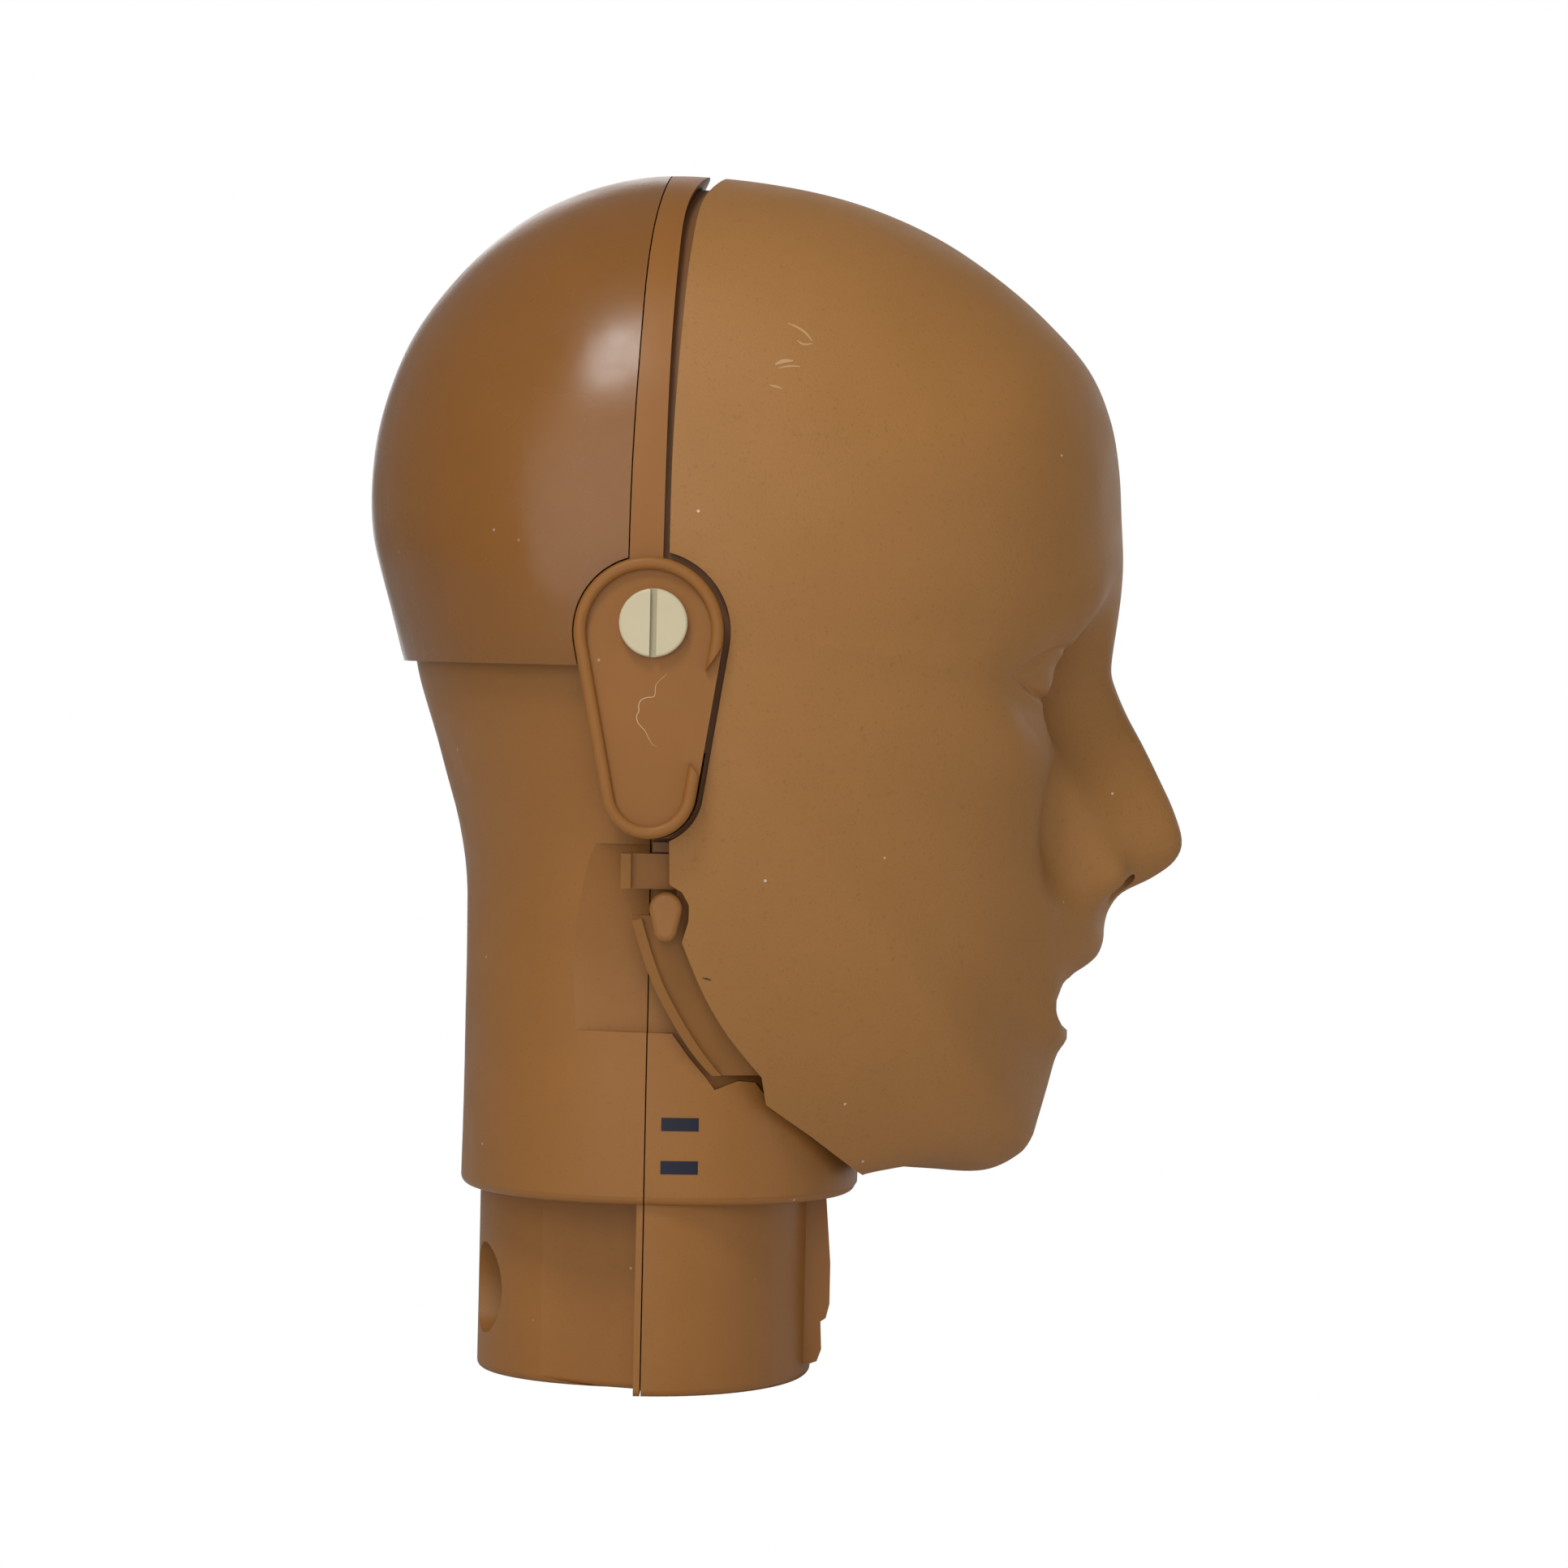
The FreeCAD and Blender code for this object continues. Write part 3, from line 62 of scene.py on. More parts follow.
# Smooth tables and blends
def blend(low, high, value):
    """Go smoothly from 0 at low to 1 at high."""
    share = np.clip((value - low) / (high - low), 0.0, 1.0)
    return share * share * (3.0 - 2.0 * share)


def smooth_table(points):
    """Give a function that runs smoothly through (place, value) points."""
    places = np.array([place for place, value in points])
    values = np.array([value for place, value in points])
    last = len(points) - 1
    before = np.maximum(np.arange(last + 1) - 1, 0)
    after = np.minimum(np.arange(last + 1) + 1, last)
    slopes = (values[after] - values[before]) / (places[after] - places[before])

    def read(place):
        place = np.clip(place, places[0], places[last])
        i = np.clip(np.searchsorted(places, place, side="right") - 1, 0, last - 1)
        span = places[i + 1] - places[i]
        t = (place - places[i]) / span
        return ((1 + 2 * t) * (1 - t) ** 2 * values[i] + t * (1 - t) ** 2 * span * slopes[i]
                + t * t * (3 - 2 * t) * values[i + 1] + t * t * (t - 1) * span * slopes[i + 1])

    return read


def polar(outline):
    """Turn (x, z) points about the tilt axis into (degrees, radius), in order of angle."""
    rows = []
    for x, z in outline:
        angle = math.degrees(math.atan2(z, x))
        rows.append((angle + 360.0 if angle < -120.0 else angle, math.hypot(x, z)))
    return sorted(rows)


# Mouth opening: its centre (y, z), half width and half height. The lips roll in by LIP_ROLL at its rim,
# and the roll runs out between the two shares of its size in LIP_EDGE.
MOUTH = (0.0, -86.6, 19.0, 6.4)
LIP_ROLL = 0.9
LIP_EDGE = (0.92, 1.42)
LIP_FRONT = 0.8

# Head surface, as (x, z) points or by (degrees, value) about the tilt axis
MIDLINE = [
    (49.0, -124.6), (65.0, -125.8), (78.4, -125.9), (86.5, -121.9), (89.3, -118.0), (90.4, -114.2),
    (92.5, -106.6), (94.6, -98.9), (97.3, -94.3), (97.3, -90.5), (96.4, -87.3), (96.8, -83.4),
    (99.8, -79.0), (103.6, -75.4), (105.0, -71.8), (105.2, -68.3), (106.2, -64.5), (109.2, -60.6),
    (116.5, -56.7), (121.4, -52.8), (123.0, -48.4), (121.0, -41.4), (117.4, -33.8), (113.6, -26.3),
    (109.5, -18.8), (106.3, -11.3), (105.8, -7.5), (106.6, 0.1), (107.8, 15.4), (107.2, 26.8),
    (106.4, 38.1), (104.2, 49.5), (99.2, 60.8), (89.3, 72.0), (76.0, 83.1), (64.2, 90.7),
    (47.7, 97.9), (24.8, 103.1), (5.6, 104.6), (-3.0, 104.5), (-14.3, 102.3),
]
FACE_PLANE = [
    (78.4, -125.9), (86.5, -121.9), (89.3, -118.0), (90.4, -108.0), (90.8, -98.0), (92.5, -88.0),
    (95.0, -76.0), (96.4, -64.0), (97.2, -52.0), (98.0, -38.0), (99.2, -25.0), (101.2, -12.0),
    (104.2, 0.0), (106.6, 12.0), (107.2, 26.8),
]
JAW_SIDE = [(-104.0, 168.0), (-90.0, 168.0), (-82.0, 164.0), (-76.0, 157.0), (-70.0, 150.0), (-64.0, 149.0),
            (-58.0, 148.5), (-50.0, 143.0)]
ROUNDNESS = [(-104.0, 1.0), (-62.0, 1.0), (-50.0, 1.08), (-38.0, 1.08), (-20.0, 1.02), (0.0, 0.98),
             (20.0, 0.9), (42.0, 0.82), (230.0, 0.82)]
NOSE_WIDTH = [(-58.0, 30.0), (-48.0, 26.0), (-40.0, 25.0), (-35.0, 23.0), (-31.0, 17.0), (-27.0, 14.0),
              (-22.0, 12.0), (-15.0, 9.5), (-8.0, 9.0), (0.0, 12.0), (10.0, 18.0)]
# Rounds and hollows of the face: degrees, sideways place, height there, spread in degrees and in mm.
FACE_BUMPS = [
    (-8.5, 31.0, -8.0, 5.5, 12.0),
    (-8.0, 31.0, 5.6, 3.4, 9.0),
    (-7.5, 15.5, -13.0, 8.0, 7.5),
    (5.0, 27.0, 1.8, 4.5, 12.0),
    (-28.0, 12.5, 6.0, 3.0, 4.2),
    (-26.0, 22.5, -6.0, 6.5, 5.5),
    (-20.0, 44.0, 1.8, 8.0, 12.0),
    (-6.5, 62.0, 0.7, 3.0, 12.0),
    (-42.3, 18.5, 3.0, 3.0, 8.0),
    (-23.5, 16.5, 1.4, 3.6, 4.0),
]
# Creases, cut along lines seen from the front: (mm sideways, degrees) points, depth and half width in mm.
CREASES = [
    ([(17.0, -8.9), (23.0, -9.8), (29.0, -9.9), (35.0, -9.0), (40.5, -7.6)], 1.0, 0.8),
    ([(17.5, -5.8), (23.0, -3.0), (29.0, -2.2), (35.0, -3.6), (41.0, -6.4)], 0.7, 1.0),
    ([(22.0, -14.5), (30.0, -16.0), (38.0, -13.0)], 0.35, 2.2),
]
MM_PER_DEGREE = 1.65
CREASE_END = 4.0
# Below the chin the jaw's side line takes over, between two angles, two places sideways, and, where the
# neck hides it, between two other angles.
CHIN_FLOOR = (-66.0, -50.0)
FLOOR_SPREAD = (8.0, 38.0)
HIDDEN_FLOOR = (-74.0, -69.0)

face_plane = polar(FACE_PLANE)
CHIN = face_plane[1][0]
BROW = face_plane[-1][0]
midline_radius = smooth_table(polar(MIDLINE))
plane_radius = smooth_table(face_plane)
jaw_radius = smooth_table(JAW_SIDE)
roundness = smooth_table(ROUNDNESS)
nose_width = smooth_table(NOSE_WIDTH)


def head_radius(angle, side):
    """Give the radius at an angle in degrees round the tilt axis and one sideways in radians."""
    y = np.abs(HALF_WIDTH * np.sin(side))
    top = midline_radius(angle)
    base = np.where((angle > CHIN) & (angle < BROW), plane_radius(angle), top)
    ridge = (top - base) * np.exp(-(y / nose_width(angle)) ** 2)
    jaw = 1.0 - blend(*CHIN_FLOOR, angle)
    sideways = blend(*FLOOR_SPREAD, y)
    hidden = 1.0 - blend(*HIDDEN_FLOOR, angle)
    base = base + (jaw_radius(angle) - base) * jaw * np.maximum(sideways, hidden)
    radius = base * np.cos(side) ** roundness(angle) + ridge
    for place, across, height, tall, wide in FACE_BUMPS:
        radius = radius + height * np.exp(-((angle - place) / tall) ** 2 - ((y - across) / wide) ** 2)
    for line, depth, width in CREASES:
        centre = smooth_table(line)
        away = (angle - centre(y)) * MM_PER_DEGREE
        near_end, far_end = line[0][0], line[-1][0]
        fade = blend(near_end - CREASE_END, near_end + CREASE_END, y)
        fade = fade * (1.0 - blend(far_end - CREASE_END, far_end + CREASE_END, y))
        radius = radius - depth * fade * np.exp(-(away / width) ** 2)
    mouth = np.hypot(y / MOUTH[2], (radius * np.sin(np.radians(angle)) - MOUTH[1]) / MOUTH[3])
    front = np.cos(side) > LIP_FRONT
    return radius - np.where(front, LIP_ROLL * (1.0 - blend(*LIP_EDGE, mouth)), 0.0)


# Mesh helpers
def mesh_object(name, points, faces, smooth_angle=30.0):
    """Make an object from points in millimetres above the stem's foot."""
    mesh = bpy.data.meshes.new(name)
    mesh.from_pydata([tuple(MM * value for value in point) for point in points], [], faces)
    shape = bmesh.new()
    shape.from_mesh(mesh)
    bmesh.ops.recalc_face_normals(shape, faces=shape.faces)
    shape.to_mesh(mesh)
    shape.free()
    smooth(mesh, smooth_angle)
    piece = bpy.data.objects.new(name, mesh)
    bpy.context.scene.collection.objects.link(piece)
    return piece


def smooth(mesh, angle):
    """Shade a mesh smooth, except across edges sharper than an angle in degrees."""
    mesh.polygons.foreach_set("use_smooth", [True] * len(mesh.polygons))
    mesh.set_sharp_from_angle(angle=math.radians(angle))


def grid_faces(rows, columns, start=0, flip=False):
    """Give the quads of a grid of points listed row by row."""
    faces = []
    for i in range(rows - 1):
        for j in range(columns - 1):
            a = start + i * columns + j
            quad = (a, a + 1, a + columns + 1, a + columns)
            faces.append(quad[::-1] if flip else quad)
    return faces


def carve(piece, *tools):
    """Cut the tools out of a piece, for good, and delete them."""
    for tool in tools:
        cut = piece.modifiers.new("cut", "BOOLEAN")
        cut.operation = "DIFFERENCE"
        cut.solver = "EXACT"
        cut.object = tool
    bpy.context.view_layer.update()
    shape = bpy.data.meshes.new_from_object(piece.evaluated_get(bpy.context.evaluated_depsgraph_get()))
    piece.modifiers.clear()
    piece.data = shape
    for tool in tools:
        bpy.data.objects.remove(tool)


def tube_between(name, points):
    """Close two rings of points, listed one after the other, into a solid."""
    count = len(points) // 2
    faces = [tuple(range(count))[::-1], tuple(range(count, 2 * count))]
    for i in range(count):
        j = (i + 1) % count
        faces.append((i, j, count + j, count + i))
    return mesh_object(name, points, faces)


def prism(name, outline, reach):
    """Push a closed side-view outline, relative to the tilt axis, through to both sides."""
    return tube_between(name, [(x, y, PIVOT + z) for y in (-reach, reach) for x, z in outline])


def fine_line(points, step=0.8):
    """Give a smooth line through given points, by its length along them."""
    lengths = np.concatenate([[0.0], np.cumsum([math.dist(a, b) for a, b in zip(points, points[1:])])])
    read_x = smooth_table([(place, x) for place, (x, z) in zip(lengths, points)])
    read_z = smooth_table([(place, z) for place, (x, z) in zip(lengths, points)])
    places = np.linspace(0.0, lengths[-1], max(2, int(lengths[-1] / step)))
    return list(zip(read_x(places), read_z(places)))


# Soft face
SKIN_REAR = [(15.4, 106.5), (8.7, 98.0), (6.2, 85.0), (4.7, 66.0), (3.4, 40.0), (3.2, 12.0)]
SKIN_SIDE = [(4.4, -49.0), (4.6, -57.9), (7.4, -59.6), (9.0, -62.4), (9.0, -66.0), (7.6, -70.9)]
JAW_LINE = [(7.6, -70.9), (11.4, -80.0), (14.7, -86.4), (18.8, -92.7), (25.9, -101.4)]
SKIN_FOOT = [(27.0, -107.7), (37.5, -115.4), (46.1, -122.4), (49.4, -125.2)]
FAR_OUT = 200.0
SIDE_REACH = 100.0

# Gap round the ear plate, as two circles (x, z, radius)
EAR_TOP = (-1.0, -2.0, 18.1)
EAR_FOOT = (-0.3, -37.2, 12.0)
EAR_STEPS = 48

# Openings: the mouth's cut runs between two places along x; a nostril's place (x, y) and radius, with its
# rings (height, share of NOSTRIL_LEAN) and how far the upper ring leans forward and inward
MOUTH_RANGE = (60.0, 160.0)
MOUTH_STEPS = 72
NOSTRIL = (107.4, 5.8, 2.2)
NOSTRIL_LENGTH = 1.2
NOSTRIL_RINGS = ((-68.0, 0.0), (-51.0, 1.0))
NOSTRIL_LEAN = (2.6, 0.6)
NOSTRIL_STEPS = 40

# Places of the face's grid as (start, step) in degrees round the tilt axis and sideways, finest at the eyes
FACE_ANGLES = [(-88.0, 1.1), (-62.0, 0.55), (-16.0, 0.25), (0.0, 0.55), (14.0, 1.1), (89.5, 1.0)]
FACE_SIDES = [(0.0, 0.55), (28.0, 1.0), (48.0, 1.6), (86.5, 1.0)]
FACE_SHARP = 35.0


def stepped(stops):
    """Give places from stop to stop, each stretch with its own step."""
    places = []
    for (low, step), (high, unused) in zip(stops, stops[1:]):
        places += list(np.arange(low, high - step / 2, step))
    return np.array(places + [stops[-1][0]])


def face_grid(inset, angles, sides):
    """Give the points of the head's surface, moved in by an inset, angle by angle."""
    turn, side = np.meshgrid(np.radians(angles), np.radians(sides), indexing="ij")
    radius = head_radius(np.degrees(turn), side) - inset
    x = radius * np.cos(turn)
    y = (HALF_WIDTH - inset) * np.sin(side)
    z = PIVOT + radius * np.sin(turn)
    return np.stack([x, y, z], axis=-1).reshape(-1, 3)


def circles_outline(first, second):
    """Give the outline round two circles, each an (x, z, radius)."""
    reach = math.dist(first[:2], second[:2])
    down = math.atan2(second[1] - first[1], second[0] - first[0])
    half = math.acos((first[2] - second[2]) / reach)
    outline = []
    for (x, z, radius), start, finish in ((first, down + half, down - half + 2 * math.pi),
                                          (second, down - half, down + half)):
        for turn in np.linspace(start, finish, EAR_STEPS):
            outline.append((x + radius * math.cos(turn), z + radius * math.sin(turn)))
    return outline


def face_skin():
    """The soft face: an outer and an inner sheet joined at the rim, then cut back and opened."""
    angles = stepped(FACE_ANGLES)
    half = stepped(FACE_SIDES)
    sides = np.concatenate([-half[:0:-1], half])
    rows, columns = len(angles), len(sides)
    points = np.concatenate([face_grid(0.0, angles, sides), face_grid(SKIN_WALL, angles, sides)])
    inner = rows * columns
    faces = grid_faces(rows, columns, flip=True) + grid_faces(rows, columns, start=inner)
    rim = list(range(columns))
    rim += [i * columns + columns - 1 for i in range(1, rows)]
    rim += [(rows - 1) * columns + j for j in range(columns - 2, -1, -1)]
    rim += [i * columns for i in range(rows - 2, 0, -1)]
    for a, b in zip(rim, rim[1:] + rim[:1]):
        faces.append((a, b, b + inner, a + inner))
    skin = mesh_object("face_skin_soft", points, faces)
    behind = fine_line(SKIN_REAR) + SKIN_SIDE[:-1] + fine_line(JAW_LINE) + SKIN_FOOT
    behind += [(SKIN_FOOT[-1][0], -FAR_OUT), (-FAR_OUT, -FAR_OUT), (-FAR_OUT, SKIN_REAR[0][1])]
    carve(skin, prism("rear_tool", behind, SIDE_REACH),
          prism("ear_tool", circles_outline(EAR_TOP, EAR_FOOT), SIDE_REACH),
          mouth_tool(), nostril_tool(RIGHT), nostril_tool(LEFT))
    smooth(skin.data, FACE_SHARP)
    return skin


def mouth_tool():
    y, z, wide, tall = MOUTH
    points = []
    for x in MOUTH_RANGE:
        for i in range(MOUTH_STEPS):
            turn = 2 * math.pi * i / MOUTH_STEPS
            points.append((x, y + wide * math.cos(turn), PIVOT + z + tall * math.sin(turn)))
    return tube_between("mouth_tool", points)


def nostril_tool(side):
    x, y, radius = NOSTRIL
    forward, inward = NOSTRIL_LEAN
    points = []
    for height, lean in NOSTRIL_RINGS:
        for i in range(NOSTRIL_STEPS):
            turn = 2 * math.pi * i / NOSTRIL_STEPS
            points.append((x + forward * lean + NOSTRIL_LENGTH * radius * math.cos(turn),
                           side * (y - inward * lean) + radius * math.sin(turn), PIVOT + height))
    return tube_between("nostril_tool", points)


# Materials. Noise and dust scales are in turns a metre, and SPECKLES gives (scale, from, to, darkness left).
SPECULAR = 0.32
SLOW_SCALE = 28.0
PATCH_SCALE = 60.0
GRAIN_SCALE = 1800.0
GRAIN_DEPTH = 0.2 * MM
DUST_SCALE = 85.0
DUST_EDGE = (0.020, 0.034)
DUST_COLOUR = (0.75, 0.70, 0.62)
SPECKLES = ((1400.0, 0.60, 0.72, 0.35), (520.0, 0.66, 0.76, 0.45))
NOISE_MIDDLE = (0.3, 0.7)
GLOSS_CHANGE = 0.06


def shader(name, colour, roughness):
    """Make a material and give its node tree and its main shader."""
    material = bpy.data.materials.new(name)
    material.use_nodes = True
    tree = material.node_tree
    main = tree.nodes["Principled BSDF"]
    main.inputs["Base Color"].default_value = (*colour, 1.0)
    main.inputs["Roughness"].default_value = roughness
    main.inputs["Specular IOR Level"].default_value = SPECULAR
    return material, tree, main


def noise(tree, scale, detail, place):
    node = tree.nodes.new("ShaderNodeTexNoise")
    node.inputs["Scale"].default_value = scale
    node.inputs["Detail"].default_value = detail
    tree.links.new(place, node.inputs["Vector"])
    return node.outputs["Fac"]


def math_node(tree, operation, *sources):
    """Work out one value from others."""
    node = tree.nodes.new("ShaderNodeMath")
    node.operation = operation
    for i, source in enumerate(sources):
        tree.links.new(source, node.inputs[i])
    return node.outputs["Value"]


def spread(tree, source, low, high, to_low, to_high):
    """Map a value between two limits to two others, held at the ends."""
    node = tree.nodes.new("ShaderNodeMapRange")
    for name, value in (("From Min", low), ("From Max", high), ("To Min", to_low), ("To Max", to_high)):
        node.inputs[name].default_value = value
    tree.links.new(source, node.inputs["Value"])
    return node.outputs["Result"]


def mix_colours(tree, share, first, second):
    """Mix two colours, each a (red, green, blue) or a socket, by a share that is a socket."""
    node = tree.nodes.new("ShaderNodeMix")
    node.data_type = "RGBA"
    sockets = {socket.identifier: socket for socket in node.inputs}
    tree.links.new(share, sockets["Factor_Float"])
    for socket, colour in ((sockets["A_Color"], first), (sockets["B_Color"], second)):
        if isinstance(colour, tuple):
            socket.default_value = (*colour, 1.0)
        else:
            tree.links.new(colour, socket)
    return next(socket for socket in node.outputs if socket.identifier == "Result_Color")


def scaled(colour, factor):
    return tuple(factor * value for value in colour)


def moulded(name, colour, roughness, mottle=0.05, speckle=0.0, grain=0.0, dust=0.0, specular=SPECULAR,
            metallic=0.0):
    """A plastic or metal with slow colour change and gloss change, fine speckle, a fine grain and dust."""
    material, tree, main = shader(name, colour, roughness)
    main.inputs["Specular IOR Level"].default_value = specular
    main.inputs["Metallic"].default_value = metallic
    place = tree.nodes.new("ShaderNodeTexCoord").outputs["Object"]
    slow = noise(tree, SLOW_SCALE, 3.0, place)
    tint = mix_colours(tree, spread(tree, slow, *NOISE_MIDDLE, 0.0, 1.0),
                       scaled(colour, 1.0 - mottle), scaled(colour, 1.0 + mottle))
    if speckle > 0:
        for scale, low, high, darkest in SPECKLES:
            specks = spread(tree, noise(tree, scale, 2.0, place), low, high, 0.0, speckle)
            tint = mix_colours(tree, specks, tint, scaled(colour, darkest))
    if dust > 0:
        cells = tree.nodes.new("ShaderNodeTexVoronoi")
        cells.inputs["Scale"].default_value = DUST_SCALE
        tree.links.new(place, cells.inputs["Vector"])
        grains = spread(tree, cells.outputs["Distance"], *DUST_EDGE, dust, 0.0)
        tint = mix_colours(tree, grains, tint, DUST_COLOUR)
    tree.links.new(tint, main.inputs["Base Color"])
    patchy = noise(tree, PATCH_SCALE, 4.0, place)
    tree.links.new(spread(tree, patchy, *NOISE_MIDDLE, roughness - GLOSS_CHANGE, roughness + GLOSS_CHANGE),
                   main.inputs["Roughness"])
    if grain > 0:
        bump = tree.nodes.new("ShaderNodeBump")
        bump.inputs["Strength"].default_value = grain
        bump.inputs["Distance"].default_value = GRAIN_DEPTH
        tree.links.new(noise(tree, GRAIN_SCALE, 2.0, place), bump.inputs["Height"])
        tree.links.new(bump.outputs["Normal"], main.inputs["Normal"])
    return material


SKIN_COLOUR = (0.325, 0.147, 0.038)
SHELL_COLOUR = (0.222, 0.089, 0.019)
NECK_COLOUR = (0.288, 0.120, 0.026)
EAR_COLOUR = scaled(SHELL_COLOUR, 1.22)
JAW_COLOUR = scaled(NECK_COLOUR, 0.96)
MASK_COLOUR = (0.20, 0.085, 0.026)
IVORY = (0.56, 0.48, 0.31)
NATURAL = (0.60, 0.60, 0.56)
BRASS = (0.72, 0.50, 0.20)
STEEL = (0.56, 0.57, 0.58)

skin_material = moulded("soft_skin", SKIN_COLOUR, 0.55, mottle=0.035, speckle=0.2, grain=0.35, dust=0.6)
shell_material = moulded("shell_plastic", SHELL_COLOUR, 0.27, grain=0.05, dust=0.25)
ear_material = moulded("ear_plastic", EAR_COLOUR, 0.42, grain=0.06, dust=0.25, specular=0.22)
neck_material = moulded("neck_plastic", NECK_COLOUR, 0.46, speckle=0.12, grain=0.10, dust=0.4)
jaw_material = moulded("jaw_plastic", JAW_COLOUR, 0.42, grain=0.06, dust=0.2)
nylon_material = moulded("nylon", IVORY, 0.34, mottle=0.03, grain=0.05)
mask_material = moulded("mask_plastic", MASK_COLOUR, 0.5, grain=0.06)
duct_material = moulded("natural_plastic", NATURAL, 0.45, mottle=0.03, grain=0.05)
brass_material = moulded("turned_brass", BRASS, 0.30, mottle=0.08, grain=0.05, metallic=1.0)
steel_material = moulded("plated_steel", STEEL, 0.32, mottle=0.06, grain=0.04, metallic=1.0)

DRESSED = (
    (skin_material, ("face_skin",)),
    (shell_material, ("skull_cap",)),
    (ear_material, ("head_band",)),
    (neck_material, ("neck_rear_shell", "neck_front_shell")),
    (jaw_material, ("jaw_plate_right", "jaw_plate_left", "guide_peg_right", "guide_peg_left")),
    (mask_material, ("face_frame",)),
    (duct_material, ("mouth_insert", "chin_bridge", "airway_duct")),
    (nylon_material, ("pivot_screw_right", "pivot_screw_left", "pivot_washer_right", "pivot_washer_left")),
    (brass_material, ("pivot_insert_right", "pivot_insert_left")),
    (steel_material, ("shell_screws", "jaw_screws")),
)

# Painted shade in the pivot screws' slots, which run up and down through the tilt axis: it starts below the
# heads' faces, which stand SCREW_FACE out from the middle plane
SLOT_SHADE = 0.55
SLOT_SHADE_COLOUR = (0.30, 0.25, 0.14)
SLOT_HALF_WIDTH = 0.76 * MM
SLOT_EDGE = 0.06 * MM
SCREW_FACE = 77.6 * MM
SHADE_START = 0.5 * MM


# Darkens the slots' floors and walls with a painted shade colour.
def paint_slot_shade(material):
    tree = material.node_tree
    main = tree.nodes["Principled BSDF"]
    tint = main.inputs["Base Color"].links[0].from_socket
    split = tree.nodes.new("ShaderNodeSeparateXYZ")
    tree.links.new(tree.nodes.new("ShaderNodeTexCoord").outputs["Object"], split.inputs["Vector"])
    along = math_node(tree, "ABSOLUTE", split.outputs["X"])
    out = math_node(tree, "ABSOLUTE", split.outputs["Y"])
    within = spread(tree, along, SLOT_HALF_WIDTH, SLOT_HALF_WIDTH + SLOT_EDGE, 1.0, 0.0)
    below = spread(tree, out, SCREW_FACE - SHADE_START, SCREW_FACE, SLOT_SHADE, 0.0)
    # The painted shade is mixed into the screws' colour here.
    slot_shaded = mix_colours(tree, math_node(tree, "MULTIPLY", within, below), tint, SLOT_SHADE_COLOUR)
    tree.links.new(slot_shaded, main.inputs["Base Color"])


def dress(piece, material):
    """Give a piece one material in place of any that it has."""
    piece.data.materials.clear()
    piece.data.materials.append(material)


# Painted shade in the pivot screws' slots.
paint_slot_shade(nylon_material)
for material, names in DRESSED:
    for name in names:
        dress(nodes[name], material)

face = face_skin()
dress(face, skin_material)
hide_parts("face_skin")
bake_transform(face)


# Marks on the surfaces, in millimetres above the stem's foot: thin strips that stand LIFT proud and reach
# SINK into what they lie on
NAVY = (0.006, 0.008, 0.022)
PALE_SCUFF = (0.56, 0.38, 0.23)
SKIN_SCUFF = (0.43, 0.25, 0.115)
DARK_NICK = (0.07, 0.035, 0.014)
LIFT = 0.06
SINK = 0.25
MARK_STEP = 0.6
STROKE_STEP = 0.5
STROKE_INSET = 0.3
THIN_END = 0.25

navy_material = moulded("navy_print", NAVY, 0.42, mottle=0.1)
scuff_material = moulded("pale_scuff", PALE_SCUFF, 0.6, mottle=0.1)
skin_scuff_material = moulded("skin_scuff", SKIN_SCUFF, 0.6, mottle=0.1)
nick_material = moulded("dark_nick", DARK_NICK, 0.6, mottle=0.1)


def ribbon(name, places, half_widths):
    """Make a thin strip along places given as (point, outward normal)."""
    points = []
    count = len(places)
    for i, (place, normal) in enumerate(places):
        ahead = Vector(places[min(i + 1, count - 1)][0]) - Vector(places[max(i - 1, 0)][0])
        across = Vector(normal).cross(ahead).normalized() * half_widths[i]
        here = Vector(place)
        out = Vector(normal).normalized()
        for corner in (here + across + LIFT * out, here - across + LIFT * out,
                       here - across - SINK * out, here + across - SINK * out):
            points.append(tuple(corner))
    faces = [(3, 2, 1, 0), tuple(4 * (count - 1) + k for k in range(4))]
    for i in range(count - 1):
        for k in range(4):
            a, b = 4 * i + k, 4 * i + (k + 1) % 4
            faces.append((a, b, b + 4, a + 4))
    return mesh_object(name, points, faces)


def surface_place(piece, x, z):
    """Give the right-hand side's point of a piece at a side-view place, with its outward normal."""
    inverse = piece.matrix_world.inverted()
    start = inverse @ Vector((MM * x, -MM * FAR_OUT, MM * z))
    toward = (inverse.to_3x3() @ Vector((0.0, 1.0, 0.0))).normalized()
    hit, place, normal, face_index = piece.ray_cast(start, toward)
    if not hit:
        raise RuntimeError(f"nothing of {piece.name} at {x}, {z}")
    normal = (piece.matrix_world.to_3x3() @ normal).normalized()
    if normal.y > 0:
        normal = -normal
    return tuple(value / MM for value in piece.matrix_world @ place), tuple(normal)


def line_on(piece, points, step):
    """Follow a side-view line over a piece's right-hand side."""
    return [surface_place(piece, x, z) for x, z in fine_line(points, step)]


def stroke(name, piece, points, width, material, body):
    """Lay a fine strip, narrow at both ends, along a side-view line on a piece; width is half its width."""
    places = line_on(piece, points, STROKE_STEP)
    last = len(places) - 1
    turns = [math.pi * (i + STROKE_INSET) / (last + 2 * STROKE_INSET) for i in range(last + 1)]
    half_widths = [width * (THIN_END + (1.0 - THIN_END) * math.sin(turn)) for turn in turns]
    strip = ribbon(name, places, half_widths)
    strip.data.materials.append(material)
    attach(strip, body)


MARK_HALF_WIDTH = 1.5
MARK_PLACES = (3.6, 7.8, 12.0)
for name, height in (("upper_mark", 61.6), ("lower_mark", 51.9)):
    places = line_on(nodes["neck_front_shell"], [(x, height) for x in MARK_PLACES], MARK_STEP)
    mark = ribbon(f"collar_{name}", places, [MARK_HALF_WIDTH] * len(places))
    mark.data.materials.append(navy_material)
    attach(mark, "neck")

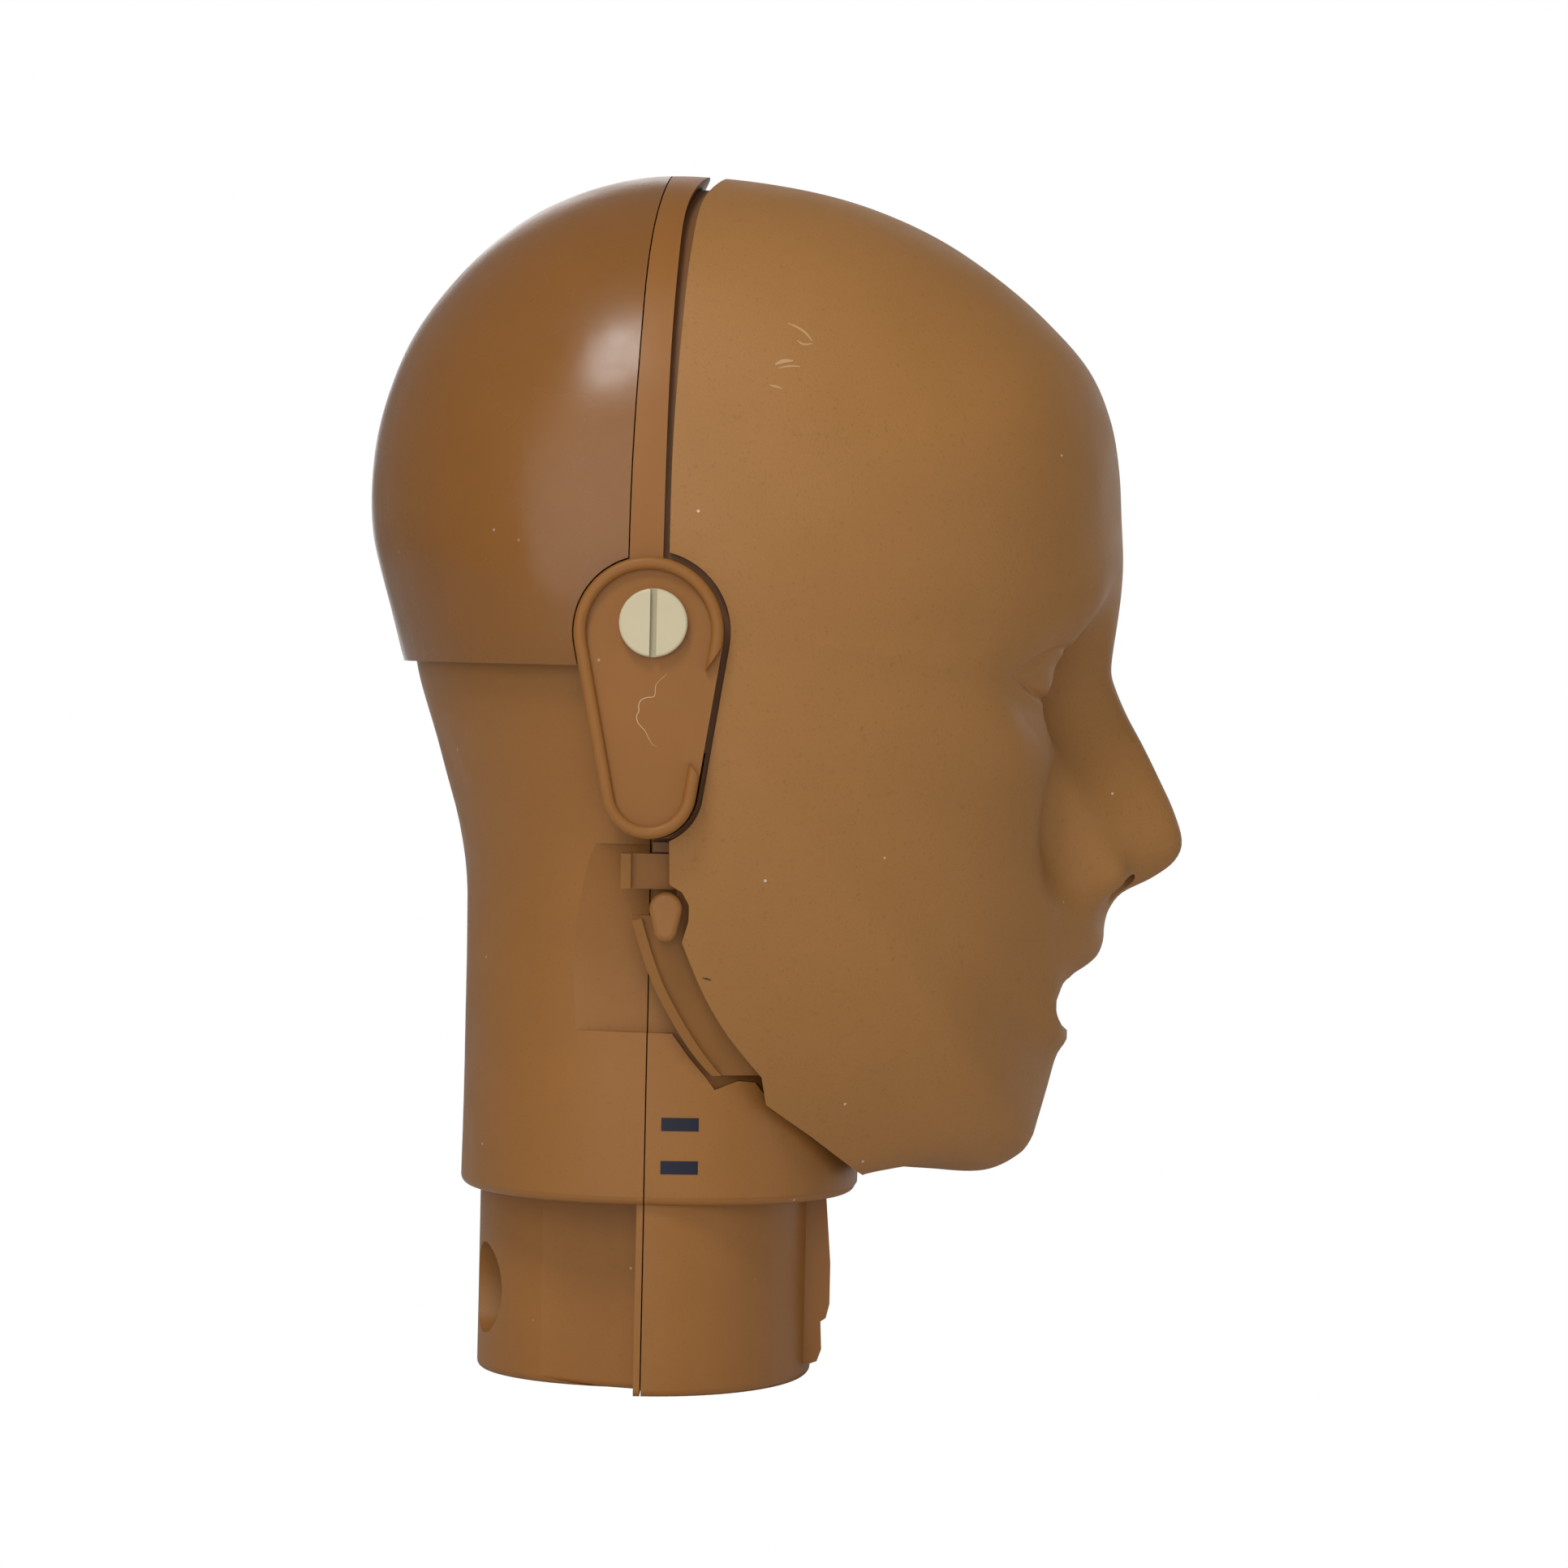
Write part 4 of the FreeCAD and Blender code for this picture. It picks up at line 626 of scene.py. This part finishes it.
EAR_SCRATCH = [
    (3.2, 162.8), (0.9, 160.4), (0.5, 157.8), (-1.1, 157.5), (-2.4, 156.9), (-2.9, 155.7), (-2.8, 154.4),
    (-3.3, 153.4), (-3.0, 152.0), (-2.2, 151.0), (-1.4, 150.2), (-0.7, 148.9), (0.4, 147.1), (1.3, 146.8),
]
stroke("ear_scratch", nodes["head_band"], EAR_SCRATCH, 0.09, scuff_material, "head")
stroke("edge_nick", face, [(12.4, 95.3), (13.2, 95.1), (14.2, 94.8)], 0.22, nick_material, "head")
BROW_SCUFFS = [
    ([(28.2, 241.7), (30.4, 240.8), (32.2, 239.6), (33.9, 237.6)], 0.30),
    ([(33.9, 237.2), (31.9, 236.9), (30.3, 237.8)], 0.24),
    ([(25.6, 232.1), (27.3, 232.9), (29.6, 233.1)], 0.50),
    ([(26.2, 231.2), (28.4, 231.8), (31.2, 231.8)], 0.22),
    ([(24.5, 227.4), (25.6, 227.2), (27.2, 226.7)], 0.26),
]
for i, (points, width) in enumerate(BROW_SCUFFS, 1):
    stroke(f"brow_scuff_{i}", face, points, width, skin_scuff_material, "head")


# Floor, light and camera
scene = bpy.context.scene
WHITE = (1.0, 1.0, 1.0, 1.0)
FLOOR_GREY = (0.86, 0.86, 0.86)
FLOOR_HALF = 4000.0


def floor_material():
    """Pale for the light that falls on it, and plain white to the camera, as in the photo."""
    material, tree, main = shader("pale_floor", FLOOR_GREY, 0.9)
    glow = tree.nodes.new("ShaderNodeEmission")
    glow.inputs["Color"].default_value = WHITE
    ray = tree.nodes.new("ShaderNodeLightPath")
    mix = tree.nodes.new("ShaderNodeMixShader")
    tree.links.new(ray.outputs["Is Camera Ray"], mix.inputs[0])
    tree.links.new(main.outputs["BSDF"], mix.inputs[1])
    tree.links.new(glow.outputs["Emission"], mix.inputs[2])
    tree.links.new(mix.outputs["Shader"], tree.nodes["Material Output"].inputs["Surface"])
    return material


corners = [(-FLOOR_HALF, -FLOOR_HALF, 0.0), (FLOOR_HALF, -FLOOR_HALF, 0.0),
           (FLOOR_HALF, FLOOR_HALF, 0.0), (-FLOOR_HALF, FLOOR_HALF, 0.0)]
floor = mesh_object("floor", corners, [(0, 1, 2, 3)])
floor.data.materials.append(floor_material())

# Strength of the world's light, of what gloss shows of it, and of what the camera sees
WORLD_LIGHT = 0.2
WORLD_REFLECTED = 0.25
WORLD_SEEN = 1.0


def studio_world():
    world = bpy.data.worlds.new("studio")
    world.use_nodes = True
    tree = world.node_tree
    background = tree.nodes["Background"]
    background.inputs["Color"].default_value = WHITE
    ray = tree.nodes.new("ShaderNodeLightPath")
    reflected = spread(tree, ray.outputs["Is Glossy Ray"], 0.0, 1.0, WORLD_LIGHT, WORLD_REFLECTED)
    seen = spread(tree, ray.outputs["Is Camera Ray"], 0.0, 1.0, 0.0, WORLD_SEEN)
    tree.links.new(reflected, seen.node.inputs["To Min"])
    tree.links.new(seen, background.inputs["Strength"])
    return world


def softbox(name, place, aim, width, height, power):
    """Add a square-cornered area lamp that looks at a point; places in metres, power in watts."""
    lamp = bpy.data.lights.new(name, "AREA")
    lamp.shape = "RECTANGLE"
    lamp.size = width
    lamp.size_y = height
    lamp.energy = power
    holder = bpy.data.objects.new(name, lamp)
    holder.location = place
    holder.rotation_euler = (Vector(aim) - Vector(place)).to_track_quat("-Z", "Y").to_euler()
    scene.collection.objects.link(holder)


scene.world = studio_world()
HEAD_CENTRE = (0.02, 0.0, 0.17)
softbox("key", (-0.45, -1.8, 0.6), HEAD_CENTRE, 2.0, 1.4, 17.0)
softbox("overhead", (-0.25, -0.63, 1.0), HEAD_CENTRE, 0.24, 0.30, 4.7)
softbox("fill", (1.3, -0.8, 0.25), HEAD_CENTRE, 0.9, 0.9, 2.5)
softbox("rim", (0.9, 1.0, 0.3), HEAD_CENTRE, 0.6, 0.8, 2.0)
softbox("far_side", (0.1, 1.9, 0.6), HEAD_CENTRE, 1.4, 1.4, 8.0)

# Camera: level, a little turned about its own line of sight, and shifted down as the frame needs. Metres.
CAMERA_PLACE = (0.0289, -1.3, 0.1692)
CAMERA_ROLL = math.radians(1.2)
FRAME_PIXELS = 1932
FRAME_WIDTH = 0.19 * MM * FRAME_PIXELS
FRAME_DROP = 0.032
SENSOR_WIDTH = 36.0
camera_data = bpy.data.cameras.new("camera")
camera_data.sensor_width = SENSOR_WIDTH
camera_data.lens = -SENSOR_WIDTH * CAMERA_PLACE[1] / FRAME_WIDTH
camera_data.shift_y = -FRAME_DROP / FRAME_WIDTH
camera = bpy.data.objects.new("camera", camera_data)
scene.collection.objects.link(camera)
camera.location = CAMERA_PLACE
camera.rotation_euler = (math.radians(90.0), -CAMERA_ROLL, 0.0)
scene.camera = camera

scene.view_settings.view_transform = "Standard"
